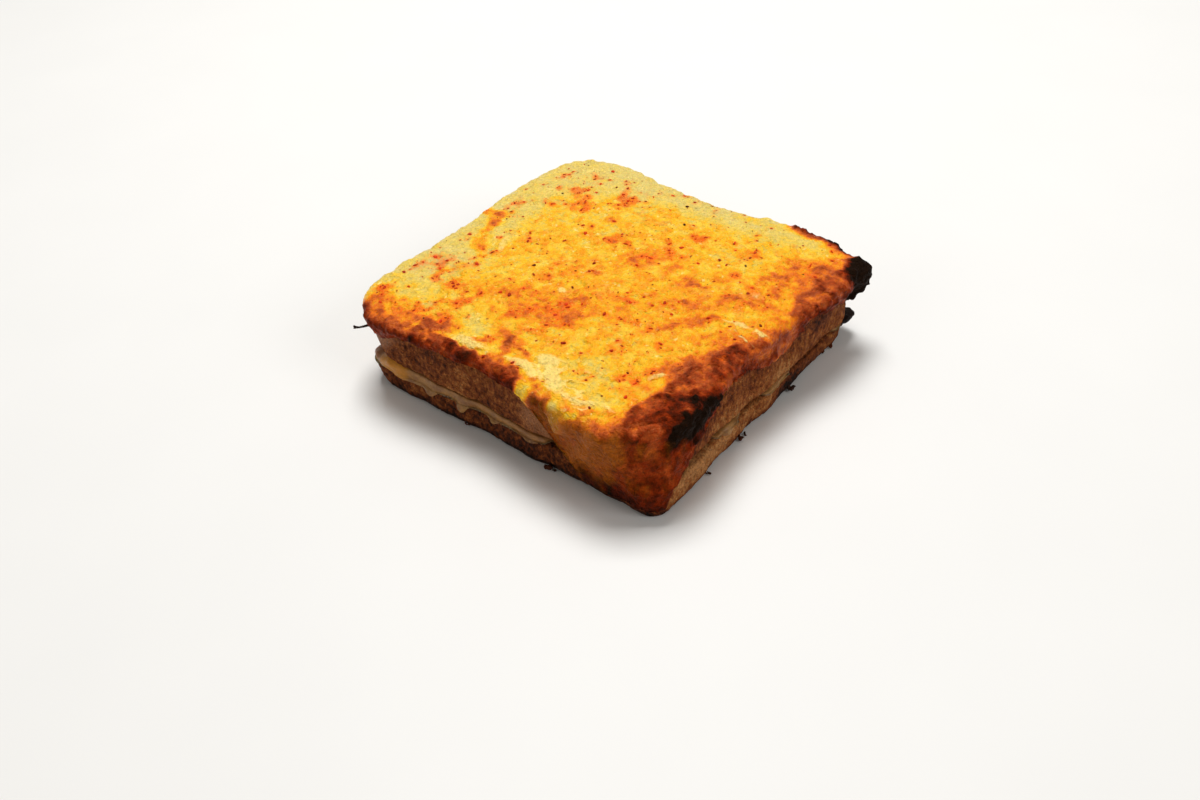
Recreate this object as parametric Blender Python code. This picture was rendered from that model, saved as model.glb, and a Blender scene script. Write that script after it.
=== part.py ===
"""Croque monsieur: two toasted slices of square sandwich loaf, a creamy filling and a browned cheese top.

The layers are lofted from rounded plan outlines, one outline for each level of the sandwich. Every size below
is in millimetres, and the meshes are made in metres. +Z runs up through the layers. The sides run along X and Y.
The four corners are named left (-X -Y), front (+X -Y), right (+X +Y) and back (-X +Y), and every list of four
follows that order.
"""

import math

import bmesh
import bpy

MM = 0.001

# Half the side of the sandwich, for values that blend from corner to corner.
HALF_SIDE = 62.0

# Clear space left between two layers that touch.
LAYER_GAP = 0.45

# Plan outlines. Each corner is (x, y, radius). Each bow is how far the edge after that corner curves inward.
FOOT_CORNERS = ((-56.0, -58.0, 11.0), (62.0, -58.7, 8.0), (62.5, 57.5, 17.0), (-58.0, 57.0, 14.0))
LOWER_TOP_CORNERS = ((-60.5, -57.0, 10.0), (62.0, -59.0, 11.0), (63.5, 58.0, 18.0), (-61.0, 59.0, 14.0))
UPPER_FOOT_CORNERS = ((-53.0, -58.0, 10.0), (61.5, -59.0, 13.0), (64.5, 58.5, 18.0), (-59.0, 60.0, 14.0))
UPPER_TOP_CORNERS = ((-60.5, -58.0, 15.0), (60.5, -60.5, 24.0), (65.5, 58.0, 22.0), (-60.5, 61.5, 18.0))
RIM_CORNERS = ((-64.0, -60.0, 18.0), (62.5, -62.5, 25.0), (68.5, 60.5, 24.0), (-63.5, 65.0, 20.0))
BREAD_BOWS = (0.0, 0.4, 1.0, 0.0)
UPPER_TOP_BOWS = (2.0, 2.3, 2.5, 0.5)
RIM_BOWS = (3.2, 4.0, 4.0, 0.5)

# Heights of the layers at the four corners.
LOWER_TOP_HEIGHTS = (7.0, 10.5, 5.8, 8.0)
UPPER_FOOT_HEIGHTS = (12.3, 12.6, 8.2, 11.0)
UPPER_TOP_HEIGHTS = (25.6, 24.4, 26.2, 26.2)
RIM_TOP_HEIGHTS = (28.8, 27.4, 29.3, 29.3)
EDGE_RISE = 0.8
NEAR_EDGE_RISE = 1.8

# The cheese: how far its top rises above its rim, the height of the rolled rim, how far its lip hangs below the
# roll and how thick its skin lies on the bread.
DOME_RISE = 1.8
RIM_ROLL = 3.6
RIM_LIP_DROP = 1.3
SKIN_THICKNESS = 1.3

# The skin of cheese that runs down over the front corner. Places are measured as x + y, which grows along the
# outline from the left corner, past the front corner at about 0, to the right corner.
SKIN_START = (-36.0, -28.0)
SKIN_END = (14.0, 36.0)
SKIN_FOOT = 3.2
SKIN_REACH = 60.0

# The charred tab at the right corner and the charred nub below it: (x, y), how far each stands out, its width.
CHAR_TAB_PLACE = (64.0, 52.5)
CHAR_TAB_REACH = 6.5
CHAR_TAB_WIDTH = 5.0
CHAR_NUB_PLACE = (59.5, 52.0)
CHAR_NUB_REACH = 3.6
CHAR_NUB_WIDTH = 4.6

# The filling: how far it lies set back between the slices, how far its bead stands out past them, and its drips
# over the side of the lower slice, each (x, y, depth, width). The bead ends at one place in x on the near side
# and at another on the far side, and it leaves a bare ledge of bread at the left corner.
FILLING_SET_BACK = 2.4
FILLING_BEAD = 1.0
FILLING_NEAR_END = 20.0
FILLING_FAR_END = 36.0
FILLING_LEDGE_PLACE = (-61.0, -46.0)
FILLING_LEDGE_WIDTH = 9.0
FILLING_DRIPS = (
    (-42.0, -57.0, 1.2, 6.0),
    (-24.0, -58.0, 1.8, 5.0),
    (-14.0, -58.0, 3.2, 3.8),
    (-1.0, -58.0, 2.0, 4.0),
    (10.0, -58.5, 2.4, 5.0),
    (62.0, -22.0, 3.0, 4.6),
    (62.5, 6.0, 1.6, 6.0),
    (24.0, 58.0, 2.2, 5.0),
    (-8.0, 58.0, 2.8, 4.4),
    (-34.0, 58.0, 1.6, 6.0),
    (-60.0, 34.0, 2.2, 4.6),
    (-60.0, -4.0, 2.6, 5.0),
    (-60.0, -24.0, 1.2, 4.6),
)

# Unevenness of every outline: (amount, x rate, y rate, phase) of each wave.
OUTLINE_WAVES = ((0.35, 0.21, 0.13, 0.4), (0.25, -0.12, 0.30, 2.1), (0.20, 0.47, 0.38, 4.0))
TOP_WAVES = ((0.35, 0.11, 0.07, 0.9), (0.30, -0.09, 0.16, 2.6))

# How finely each outline is divided, for one corner and for one edge.
ARC_STEPS = 6
EDGE_STEPS = 20


def blend(first, second, share):
    """Value between two others."""
    return first + (second - first) * share


def ramp(start, end, value):
    """Smooth step from 0 at start to 1 at end."""
    share = min(max((value - start) / (end - start), 0.0), 1.0)
    return share * share * (3.0 - 2.0 * share)


def hump(x, y, place, width):
    """Smooth bump that is 1 at a place and fades over its width."""
    distance = math.hypot(x - place[0], y - place[1])
    return math.exp(-((distance / width) ** 2))


def waves(x, y, table):
    """Sum of a few plane waves, which makes a surface gently uneven."""
    return sum(amount * math.sin(rate_x * x + rate_y * y + phase) for amount, rate_x, rate_y, phase in table)


def across_corners(values, x, y):
    """Value at a place, blended from its values at the four corners."""
    share_x = min(max((x / HALF_SIDE + 1.0) / 2.0, 0.0), 1.0)
    share_y = min(max((y / HALF_SIDE + 1.0) / 2.0, 0.0), 1.0)
    near = blend(values[0], values[1], share_x)
    far = blend(values[3], values[2], share_x)
    return blend(near, far, share_y)


def outline(corners, bows):
    """Points of a rounded quadrilateral, as (x, y, outward x, outward y), anticlockwise from the left."""
    signs = ((-1.0, -1.0), (1.0, -1.0), (1.0, 1.0), (-1.0, 1.0))
    arcs = []
    for (x, y, radius), (sign_x, sign_y), turn in zip(corners, signs, range(4)):
        start = math.pi + turn * math.pi / 2.0
        arcs.append((x - sign_x * radius, y - sign_y * radius, radius, start))
    points = []
    for turn, (x, y, radius, start) in enumerate(arcs):
        for step in range(ARC_STEPS):
            angle = start + 0.5 * math.pi * step / ARC_STEPS
            out_x, out_y = math.cos(angle), math.sin(angle)
            points.append((x + radius * out_x, y + radius * out_y, out_x, out_y))
        end = start + math.pi / 2.0
        next_x, next_y, next_radius, _ = arcs[(turn + 1) % 4]
        out_x, out_y = math.cos(end), math.sin(end)
        first = (x + radius * out_x, y + radius * out_y)
        last = (next_x + next_radius * out_x, next_y + next_radius * out_y)
        for step in range(EDGE_STEPS):
            share = step / EDGE_STEPS
            inward = bows[turn] * math.sin(math.pi * share) ** 2
            edge_x = blend(first[0], last[0], share) - out_x * inward
            edge_y = blend(first[1], last[1], share) - out_y * inward
            points.append((edge_x, edge_y, out_x, out_y))
    return [moved_out(point, waves(point[0], point[1], OUTLINE_WAVES)) for point in points]


def moved_out(point, distance):
    """Outline point moved along its outward direction."""
    x, y, out_x, out_y = point
    return (x + out_x * distance, y + out_y * distance, out_x, out_y)


def between(first, second, share):
    """Outline between two others of the same division."""
    return [tuple(blend(a, b, share) for a, b in zip(one, other)) for one, other in zip(first, second)]


FOOT = outline(FOOT_CORNERS, BREAD_BOWS)
LOWER_TOP = outline(LOWER_TOP_CORNERS, BREAD_BOWS)
UPPER_FOOT = outline(UPPER_FOOT_CORNERS, BREAD_BOWS)
UPPER_TOP = outline(UPPER_TOP_CORNERS, UPPER_TOP_BOWS)
RIM = outline(RIM_CORNERS, RIM_BOWS)


def lower_top(x, y):
    """Height of the lower slice's top."""
    return across_corners(LOWER_TOP_HEIGHTS, x, y)


def upper_foot(x, y):
    """Height of the upper slice's underside."""
    return across_corners(UPPER_FOOT_HEIGHTS, x, y)


def edge_rise(x, y):
    """How much higher the edges stand at their middles than at the corners, most of all the near edge."""
    rise = blend(NEAR_EDGE_RISE, EDGE_RISE, ramp(-HALF_SIDE, 0.0, y))
    return rise * (1.0 - min(min(abs(x), abs(y)) / HALF_SIDE, 1.0) ** 2)


def upper_top(x, y):
    """Height of the upper slice's top."""
    return across_corners(UPPER_TOP_HEIGHTS, x, y) + edge_rise(x, y)


def rim_top(x, y):
    """Height of the cheese where its top meets the rolled rim."""
    return across_corners(RIM_TOP_HEIGHTS, x, y) + edge_rise(x, y)


def skin_cover(x, y):
    """1 where the cheese runs down over the front corner, and 0 elsewhere."""
    if x - y < SKIN_REACH:
        return 0.0
    return ramp(*SKIN_START, x + y) * (1.0 - ramp(*SKIN_END, x + y))


def ring(points, distances, heights):
    """Ring of (x, y, z) from outline points, each moved out by a distance and set at a height."""
    placed = []
    for point, distance, height in zip(points, distances, heights):
        x, y, _, _ = moved_out(point, distance)
        placed.append((x, y, height))
    return placed


def shrunk(points, share, height_of):
    """Ring drawn towards the middle, set at the height that a function gives for each place."""
    count = len(points)
    middle_x = sum(point[0] for point in points) / count
    middle_y = sum(point[1] for point in points) / count
    placed = []
    for point in points:
        x = blend(middle_x, point[0], share)
        y = blend(middle_y, point[1], share)
        placed.append((x, y, height_of(x, y)))
    return placed


def lofted_mesh(name, rings):
    """Closed mesh through a run of rings, each end filled by a fan about its middle.

    The rings run from the middle of the underside, out, up the side and back in to the middle of the top.
    """
    mesh = bmesh.new()
    made = [[mesh.verts.new([value * MM for value in place]) for place in placed] for placed in rings]
    count = len(rings[0])
    for below, above in zip(made, made[1:]):
        for index in range(count):
            after = (index + 1) % count
            mesh.faces.new((below[index], below[after], above[after], above[index]))
    for placed, facing_down in ((made[0], True), (made[-1], False)):
        middle = mesh.verts.new([sum(vert.co[axis] for vert in placed) / count for axis in range(3)])
        for index in range(count):
            edge = (placed[index], placed[(index + 1) % count])
            mesh.faces.new((middle, *reversed(edge)) if facing_down else (middle, *edge))
    bmesh.ops.triangulate(mesh, faces=mesh.faces[:])
    data = bpy.data.meshes.new(name)
    mesh.to_mesh(data)
    mesh.free()
    data.shade_smooth()
    return data


def slab_rings(foot, top, foot_height, top_height, profile):
    """Rings of a bread slice. The profile lists (share of the height, inset) from the underside to the top."""
    rings = [shrunk(foot, 0.5, foot_height)]
    for share, inset in profile:
        points = between(foot, top, share)
        heights = []
        for point in points:
            x, y, _, _ = moved_out(point, -inset)
            heights.append(blend(foot_height(x, y), top_height(x, y), share))
        rings.append(ring(points, [-inset] * len(points), heights))
    rings.append(shrunk(top, 0.5, top_height))
    return rings


def make_lower_slice():
    """Lower slice of bread, with a flat underside and slightly rounded edges."""
    profile = ((0.0, 1.4), (0.08, 0.5), (0.3, 0.0), (0.8, 0.0), (0.95, 0.4), (1.0, 1.2))
    rings = slab_rings(FOOT, LOWER_TOP, lambda x, y: 0.0, lower_top, profile)
    return lofted_mesh("bread_lower", rings)


def make_upper_slice():
    """Upper slice of bread, wider at its top, with its top edge rounded under the cheese."""
    profile = ((0.0, 1.2), (0.06, 0.4), (0.25, 0.0), (0.6, 0.0), (0.85, 0.3), (0.95, 1.2), (1.0, 2.6))
    rings = slab_rings(UPPER_FOOT, UPPER_TOP, upper_foot, upper_top, profile)
    return lofted_mesh("bread_upper", rings)


def filling_swell(x, y):
    """How strongly the filling presses out between the slices at a place."""
    end = FILLING_NEAR_END if y < 0.0 else FILLING_FAR_END
    band = 0.6 * (1.0 - ramp(end, end + 8.0, x)) * (1.0 - hump(x, y, FILLING_LEDGE_PLACE, FILLING_LEDGE_WIDTH))
    drips = sum(depth * hump(x, y, (drip_x, drip_y), width) for drip_x, drip_y, depth, width in FILLING_DRIPS)
    nub = 2.0 * hump(x, y, CHAR_NUB_PLACE, 1.6 * CHAR_NUB_WIDTH)
    return band + drips + nub


def make_filling():
    """Creamy filling: a thin layer between the slices that squeezes out and drips where it is thickest."""

    def underside(x, y):
        return lower_top(x, y) + LAYER_GAP

    def upside(x, y):
        return upper_foot(x, y) - LAYER_GAP

    swells = [filling_swell(x, y) for x, y, _, _ in LOWER_TOP]
    shares = [ramp(0.1, 0.5, swell) for swell in swells]
    drops = [max(0.0, swell - 0.6) for swell in swells]
    nubs = [CHAR_NUB_REACH * hump(x, y, CHAR_NUB_PLACE, CHAR_NUB_WIDTH) for x, y, _, _ in LOWER_TOP]
    floors = [underside(x, y) for x, y, _, _ in LOWER_TOP]
    tops = [upside(x, y) for x, y, _, _ in UPPER_FOOT]
    tips = [floor - drop for floor, drop in zip(floors, drops)]
    middles = [blend(tip, top, 0.55) for tip, top in zip(tips, tops)]
    inner = [blend(-FILLING_SET_BACK, LAYER_GAP, share) for share in shares]
    beads = [FILLING_BEAD * (0.35 + 0.65 * share) for share in shares]
    outer = [place + bead + nub for place, bead, nub in zip(inner, beads, nubs)]
    deep_inside = [-FILLING_SET_BACK - 1.0] * len(inner)
    rings = [
        shrunk(LOWER_TOP, 0.5, underside),
        ring(LOWER_TOP, deep_inside, floors),
        ring(LOWER_TOP, inner, floors),
        ring(LOWER_TOP, [place + 0.05 for place in inner], [tip - 0.05 for tip in tips]),
        ring(LOWER_TOP, [blend(a, b, 0.7) for a, b in zip(inner, outer)], [tip - 0.1 for tip in tips]),
        ring(LOWER_TOP, outer, [blend(tip, middle, 0.5) for tip, middle in zip(tips, middles)]),
        ring(between(LOWER_TOP, UPPER_FOOT, 0.45), [place - 0.3 for place in outer], middles),
        ring(UPPER_FOOT, [blend(a, b, 0.4) - 0.4 for a, b in zip(inner, outer)], [top - 0.4 for top in tops]),
        ring(UPPER_FOOT, deep_inside, tops),
        shrunk(UPPER_FOOT, 0.5, upside),
    ]
    return lofted_mesh("filling", rings)


def body_point(index, height):
    """One point of the stacked bread's outline at a height, set by its number round the outline."""
    levels = [(0.0, FOOT[index])]
    for points, height_of in ((LOWER_TOP, lower_top), (UPPER_FOOT, upper_foot), (UPPER_TOP, upper_top)):
        x, y, _, _ = points[index]
        levels.append((height_of(x, y), points[index]))
    for (below, first), (above, second) in zip(levels, levels[1:]):
        if height <= above:
            return between([first], [second], (height - below) / (above - below))[0]
    return UPPER_TOP[index]


def make_cheese():
    """Browned cheese: a domed top, a rolled rim, a skin over the front corner and a charred tab."""
    count = len(RIM)
    tops = [rim_top(x, y) for x, y, _, _ in RIM]
    bread_tops = [upper_top(x, y) for x, y, _, _ in UPPER_TOP]
    widest = [top - RIM_ROLL for top in tops]
    covers = [skin_cover(x, y) for x, y, _, _ in RIM]
    tabs = [CHAR_TAB_REACH * hump(x, y, CHAR_TAB_PLACE, CHAR_TAB_WIDTH) for x, y, _, _ in RIM]
    lips = []
    for index in range(count):
        uneven = waves(RIM[index][0], RIM[index][1], OUTLINE_WAVES)
        rim_lip = min(widest[index] - RIM_LIP_DROP + uneven, bread_tops[index] - 1.6)
        lips.append(blend(rim_lip - 0.6 * tabs[index], SKIN_FOOT, covers[index]))

    def inner_ring(share):
        placed = []
        for index in range(count):
            height = blend(lips[index], bread_tops[index] - 1.0, share)
            x, y, _, _ = moved_out(body_point(index, height), LAYER_GAP)
            placed.append((x, y, height))
        return placed

    def outer_ring(share):
        placed = []
        for index in range(count):
            height = blend(lips[index], widest[index], share)
            skin = moved_out(body_point(index, height), LAYER_GAP + SKIN_THICKNESS)
            rim = moved_out(RIM[index], tabs[index] * share)
            nearness = ramp(widest[index] - 5.0, widest[index], height)
            thick = between([skin], [rim], nearness)[0]
            placed.append((thick[0], thick[1], height))
        return placed

    def roll_ring(turn):
        placed = []
        for index in range(count):
            inset = RIM_ROLL * (1.0 - math.cos(turn)) * 1.1
            x, y, _, _ = moved_out(RIM[index], tabs[index] * math.cos(turn) - inset)
            placed.append((x, y, widest[index] + RIM_ROLL * math.sin(turn)))
        return placed

    def dome(x, y):
        middle = max(0.0, 1.0 - (max(abs(x), abs(y)) / HALF_SIDE) ** 2)
        return rim_top(x, y) + DOME_RISE * ramp(0.0, 1.0, middle) + waves(x, y, TOP_WAVES) * middle

    def top_ring(share):
        return shrunk([moved_out(point, -RIM_ROLL * 1.1) for point in RIM], share, dome)

    def under_ring(share):
        return shrunk(UPPER_TOP, share, lambda x, y: upper_top(x, y) + LAYER_GAP)

    bread_edge = [top + LAYER_GAP for top in bread_tops]
    shoulder = [top - 0.9 + LAYER_GAP for top in bread_tops]
    rings = [under_ring(0.5)]
    rings += [ring(UPPER_TOP, [-2.4] * count, bread_edge), ring(UPPER_TOP, [-0.9] * count, shoulder)]
    rings += [inner_ring(share) for share in (1.0, 0.75, 0.5, 0.25, 0.0)]
    rings += [outer_ring(share) for share in (0.0, 0.3, 0.55, 0.78, 1.0)]
    rings += [roll_ring(turn) for turn in (0.35 * math.pi / 2, 0.65 * math.pi / 2)]
    rings += [top_ring(share) for share in (1.0, 0.85, 0.62, 0.36, 0.14)]
    return lofted_mesh("cheese_top", rings)


def make_material(name, colour, roughness):
    """Plain material of one colour."""
    material = bpy.data.materials.new(name)
    material.use_nodes = True
    shader = material.node_tree.nodes["Principled BSDF"]
    shader.inputs["Base Color"].default_value = (*colour, 1.0)
    shader.inputs["Roughness"].default_value = roughness
    shader.inputs["Metallic"].default_value = 0.0
    return material


def add_piece(name, data, colour, roughness):
    """Named object of one piece, with its own material."""
    data.materials.append(make_material(name, colour, roughness))
    piece = bpy.data.objects.new(name, data)
    bpy.context.scene.collection.objects.link(piece)
    return piece


def centre_on_ground(pieces):
    """Move the sandwich so that the origin is below the middle of its box."""
    for axis in range(2):
        values = [vertex.co[axis] for piece in pieces for vertex in piece.data.vertices]
        middle = (min(values) + max(values)) / 2.0
        for piece in pieces:
            for vertex in piece.data.vertices:
                vertex.co[axis] -= middle


def clear_scene():
    """Remove every object that the scene starts with."""
    for thing in list(bpy.data.objects):
        bpy.data.objects.remove(thing, do_unlink=True)


def main():
    clear_scene()
    pieces = [
        add_piece("bread_lower", make_lower_slice(), (0.27, 0.10, 0.03), 0.85),
        add_piece("filling", make_filling(), (0.72, 0.55, 0.28), 0.4),
        add_piece("bread_upper", make_upper_slice(), (0.20, 0.08, 0.03), 0.85),
        add_piece("cheese_top", make_cheese(), (0.85, 0.42, 0.05), 0.35),
    ]
    centre_on_ground(pieces)


main()
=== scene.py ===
"""Croque monsieur: a browned cheese toast sandwich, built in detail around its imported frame.

The file is laid out as a Blender add-on and run as a script. Sizes and places are in millimetres, in the
layout frame of the tables below, where the sides of the sandwich run along X and Y and +Z is up through its
layers. metres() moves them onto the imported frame. The four corners are left (-X -Y), front (+X -Y), right
(+X +Y) and back (-X +Y), and every list of four follows that order. A size of noise is that of its features,
and each noise has a seed of its own.
"""

import itertools
import math

import bmesh
import bpy
import numpy as np
from mathutils import Matrix, Vector


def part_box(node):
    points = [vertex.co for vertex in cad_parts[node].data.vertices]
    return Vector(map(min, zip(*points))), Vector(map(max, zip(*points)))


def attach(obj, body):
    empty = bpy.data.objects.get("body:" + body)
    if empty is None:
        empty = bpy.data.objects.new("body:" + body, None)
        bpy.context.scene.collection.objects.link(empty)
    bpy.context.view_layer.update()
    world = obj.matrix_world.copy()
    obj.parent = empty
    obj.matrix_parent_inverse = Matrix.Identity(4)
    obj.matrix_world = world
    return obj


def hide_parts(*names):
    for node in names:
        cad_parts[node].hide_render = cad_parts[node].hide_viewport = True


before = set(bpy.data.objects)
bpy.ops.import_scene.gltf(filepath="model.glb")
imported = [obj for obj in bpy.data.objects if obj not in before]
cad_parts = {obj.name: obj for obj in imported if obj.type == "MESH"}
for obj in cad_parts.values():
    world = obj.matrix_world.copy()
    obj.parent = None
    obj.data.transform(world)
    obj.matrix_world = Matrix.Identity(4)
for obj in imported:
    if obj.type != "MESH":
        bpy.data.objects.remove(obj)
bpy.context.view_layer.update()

bl_info = {
    "name": "Croque Monsieur",
    "version": (1, 0, 0),
    "blender": (4, 5, 0),
    "location": "View3D > Sidebar > Croque",
    "description": "Builds a croque monsieur with browned cheese, toasted bread and a creamy filling",
    "category": "Add Mesh",
}

MM = 0.001
HALF_SIDE = 62.0
LAYER_GAP = 0.45

# Plan outlines. Each corner is (x, y, radius), and each bow is how far the edge after it curves inward.
FOOT_CORNERS = ((-56, -58, 11), (62, -58.7, 5), (62.5, 57.5, 17), (-58, 57, 14))
LOWER_TOP_CORNERS = ((-60.5, -57, 10), (62, -59, 8.5), (63.5, 58, 18), (-61, 59, 14))
UPPER_FOOT_CORNERS = ((-53, -58, 10), (61.5, -59, 13), (64.5, 58.5, 18), (-59, 60, 14))
UPPER_TOP_CORNERS = ((-60.5, -58, 15), (60.5, -60.5, 24), (65.5, 58, 22), (-60.5, 61.5, 18))
RIM_CORNERS = ((-64, -60, 18), (62.5, -62.5, 25), (68.5, 60.5, 24), (-63.5, 65, 20))
BREAD_BOWS = (0.0, 0.4, 1.0, 0.0)
UPPER_TOP_BOWS = (2.0, 2.3, 2.5, 0.5)
RIM_BOWS = (3.2, 4.0, 4.0, 0.5)

# Heights of the layers at the four corners.
LOWER_TOP_HEIGHTS = (7.0, 10.5, 5.8, 8.0)
UPPER_FOOT_HEIGHTS = (12.3, 12.6, 8.2, 11.0)
UPPER_TOP_HEIGHTS = (25.6, 24.4, 26.2, 26.2)
RIM_TOP_HEIGHTS = (28.8, 27.4, 29.3, 29.3)
EDGE_RISE = 0.8
NEAR_EDGE_RISE = 1.8

# The cheese: its dome, its rolled rim, the lip below the roll and the skin over the front corner. Places
# along the skin are measured as x + y, which grows from the left corner, past the front one, to the right
# one. A pair is the start and the end of a smooth change.
DOME_RISE = 1.8
RIM_ROLL = 3.6
RIM_LIP_DROP = 2.2
RIGHT_LIP_DROP = 2.2
NEAR_LIP_RISE = 1.0
RIGHT_LIP_X = (56.0, 61.0)
LIP_OVERLAP = 1.2
LIP_RAGGEDNESS = 1.1
LIP_WAVER = 0.7
LIP_ROUNDING = 0.10
TAB_LIP_DROP = 0.6
RIM_THICKNESS = 0.8
NEAR_ROLL_THINNING = 1.4
NEAR_BREAD_RISE = 1.0
SKIN_THICKNESS = 1.3
FILM_THICKNESS = 0.35
FILM_REACH = (-46.0, -26.0)
SKIN_START = (-45.5, -41.0)
SKIN_END = (14.0, 36.0)
SKIN_FOOT = 3.2
SKIN_REACH = 60.0
NEAR_THIN_Y = (-50.0, -55.0)
NEAR_THIN_START_X = (-52.0, -32.0)
NEAR_THIN_END_X = (12.0, 26.0)

# The charred tab and the charred nub at the right corner: (x, y), how far each stands out, its width.
CHAR_TAB_PLACE = (64.0, 52.5)
CHAR_TAB_REACH = 6.5
CHAR_TAB_WIDTH = 5.0
CHAR_NUB_PLACE = (59.5, 52.0)
CHAR_NUB_REACH = 4.6
CHAR_NUB_WIDTH = 5.4

# The filling: its set-back, its bead, where the bead ends and its drips, each (x, y, depth, width).
FILLING_SET_BACK = 2.4
FILLING_BEAD = 0.5
FILLING_TUCK = 1.1
FILLING_NEAR_END = 15.0
FILLING_FAR_END = 36.0
FILLING_LEDGE_PLACE = (-61.0, -46.0)
FILLING_LEDGE_WIDTH = 9.0
FILLING_DRIPS = (
    (-42, -57, 1.2, 6), (-34, -58, 1.2, 4), (-28, -58, 2.6, 3), (-14, -58, 3.2, 2.3), (-1, -58, 2, 3),
    (15, -58.5, 1.5, 4.4), (62, -22, 2.2, 4.2), (62.5, 6, 1.6, 6), (24, 58, 2.2, 5), (-8, 58, 2.8, 4.4),
    (-34, 58, 1.6, 6), (-60, 34, 2.2, 4.6), (-60, -4, 2.6, 5), (-60, -24, 1.2, 4.6),
)

# Unevenness of every outline and of the dome: (amount, x rate, y rate, phase) of each wave.
OUTLINE_WAVES = ((0.35, 0.21, 0.13, 0.4), (0.25, -0.12, 0.3, 2.1), (0.2, 0.47, 0.38, 4))
TOP_WAVES = ((0.35, 0.11, 0.07, 0.9), (0.3, -0.09, 0.16, 2.6))

# How finely the pieces are divided: the points of an outline's corner and edge, the rings up each piece,
# and the rounds of averaging that even out the grid of the top.
ARC_POINTS = 50
EDGE_POINTS = 170
SIDE_POINTS = ARC_POINTS + EDGE_POINTS
LOWER_STEPS = 24
UPPER_STEPS = 38
FILLING_STEPS = 22
INNER_RINGS = 5
OUTER_RINGS = 22
ROLL_RINGS = 10
GRID_EVENING = 500

# The lattice under the noise: its turn, so that its rows never run along the sandwich, and the large
# numbers that mix a cell and a seed into a random value.
LATTICE_TURN = np.array(Matrix.Rotation(0.7, 3, (0.3, 0.5, 0.8)))
CELL_FACTORS = (73856093, 19349663, 83492791)
SEED_FACTOR = 40503
MIXING_ROUNDS = ((13, 1274126177), (15, 668265263))
LOW_BITS = 0xFFFFFFFF

# Sides of the two slices, each (share of the height, inset).
LOWER_PROFILE = ((0, 1.4), (0.04, 0.8), (0.1, 0.4), (0.3, 0), (0.8, 0), (0.95, 0.2), (1, 0.8))
UPPER_PROFILE = ((0, 0.8), (0.06, 0.3), (0.25, 0), (0.6, 0), (0.88, 0.2), (0.96, 0.8), (1, 2))

# Where melted cheese hangs below the rim: (x, y, how far, width), and drips that run down the skin over the
# front corner: (x + y of the tip, how far x + y grows per millimetre up, height of the tip, half width,
# thickness).
HANGING_LIPS = (
    (-47, -59, 2.4, 4), (-30, -59.5, 0.9, 3), (15, -61, -1.2, 5), (63.5, -18, -4.2, 8), (64, 5, 2.6, 8),
    (65.5, 24, -2.6, 6), (66.5, 45, 4.5, 5), (-20, 62.5, 2.6, 5), (30, 61.5, 1.8, 5), (-62.5, 22, 3, 5),
    (-62.5, -14, 1.6, 4),
)
SKIN_DRIPS = (
    (-32, 0.15, 21, 2.4, 1.5), (-30, 0.4, 5.5, 1.3, 0.8), (-24, 0.29, 13, 1.5, 0.9),
    (-13, 0.3, 18, 3.6, 0.5), (2, 0.2, 19, 4.5, 0.5),
)

# Browning of the cheese, from 0 (pale) through yellow, orange and brown to 1 (black). Oval spots on the
# top: (x, y, half length, half width, turn in degrees, amount).
YELLOW_BAKE = 0.30
PALE_BAKE = 0.05
PALE_LEFT_X = (-56.0, -36.0)
PALE_LEFT_Y = (-44.0, -16.0)
PALE_EDGE_X = (-58.0, -26.0)
PALE_EDGE = 0.60
PALE_BACK_Y = (39.0, 52.0)
PALE_BACK_X = (42.0, 58.0)
PALE_CORNER = (58.0, 84.0)
BAKE_SPOTS = (
    (25, 53.5, 6.5, 2.6, 0, 0.17), (40, 45.5, 6.5, 4, 8, 0.1), (53, 36, 10, 7.5, 60, 0.27),
    (47, 27, 5, 3, 20, 0.14), (-58.5, 10, 4.6, 2.4, 0, 0.5), (-52.5, 5, 7.5, 3.6, 100, 0.5),
    (-47.5, -8, 6.5, 3.4, 125, 0.44), (-2, -24, 18, 9.5, 28, 0.19), (4, -28, 5, 3.6, 10, 0.07),
    (-10, -20, 5, 3.6, 0, 0.07), (36, -10, 12, 2, 52, 0.2), (15, 0, 34, 24, 0, 0.08),
    (-34, -4, 9, 8, 0, 0.06), (-3.5, -43.5, 5, 2.6, -10, 0.31), (5, -46.5, 6, 1.5, -8, 0.26),
    (-0.5, -50, 1.6, 5, 0, 0.34), (-9, -48.5, 4.6, 1.4, 30, 0.36), (-29, -48, 4, 5, -30, 0.18),
    (-24, -48, 3.4, 3.2, 0, 0.22), (-51, -40, 3, 2.4, 0, 0.16), (-45, -47, 2.6, 1.8, 0, 0.22),
    (-57, -44.5, 2, 3, 0, 0.26), (-27, -35.5, 5, 1.4, 30, 0.16), (-46, -28, 2, 5, -20, 0.14),
    (22, -32, 12, 5, 0, 0.05), (45, -31, 9, 4, 60, 0.12), (17, 15, 4, 2.4, 110, 0.22),
    (27, 10.5, 4.2, 1.3, -25, 0.22), (-16, -45.5, 8, 4.6, 0, -0.14), (50, 12, 10, 2.6, 12, 0.15),
    (40, 2, 9, 5, 30, 0.12), (16, 34, 4, 3, 0, 0.18), (35, 36, 4, 2.6, 0, 0.14), (5, 14, 6, 4, 30, 0.13),
    (-34, -51.5, 12, 2.6, 0, 0.22), (-52, -51, 8, 4, -40, 0.28), (-30, -31, 12, 3, 15, 0.1),
    (38, -42, 6, 4, 20, 0.12), (30, -46, 18, 9, -10, -0.12), (20, -56, 8, 4, 0, -0.08),
    (47, -24, 8, 3, 80, 0.16), (-7, 17, 4, 2, 20, 0.1), (61, -21.5, 3, 1.9, 20, -0.34),
    (33, -57, 5, 2.2, 25, 0.16), (57, -53.5, 7, 2.2, 0, 0.26),
)

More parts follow.
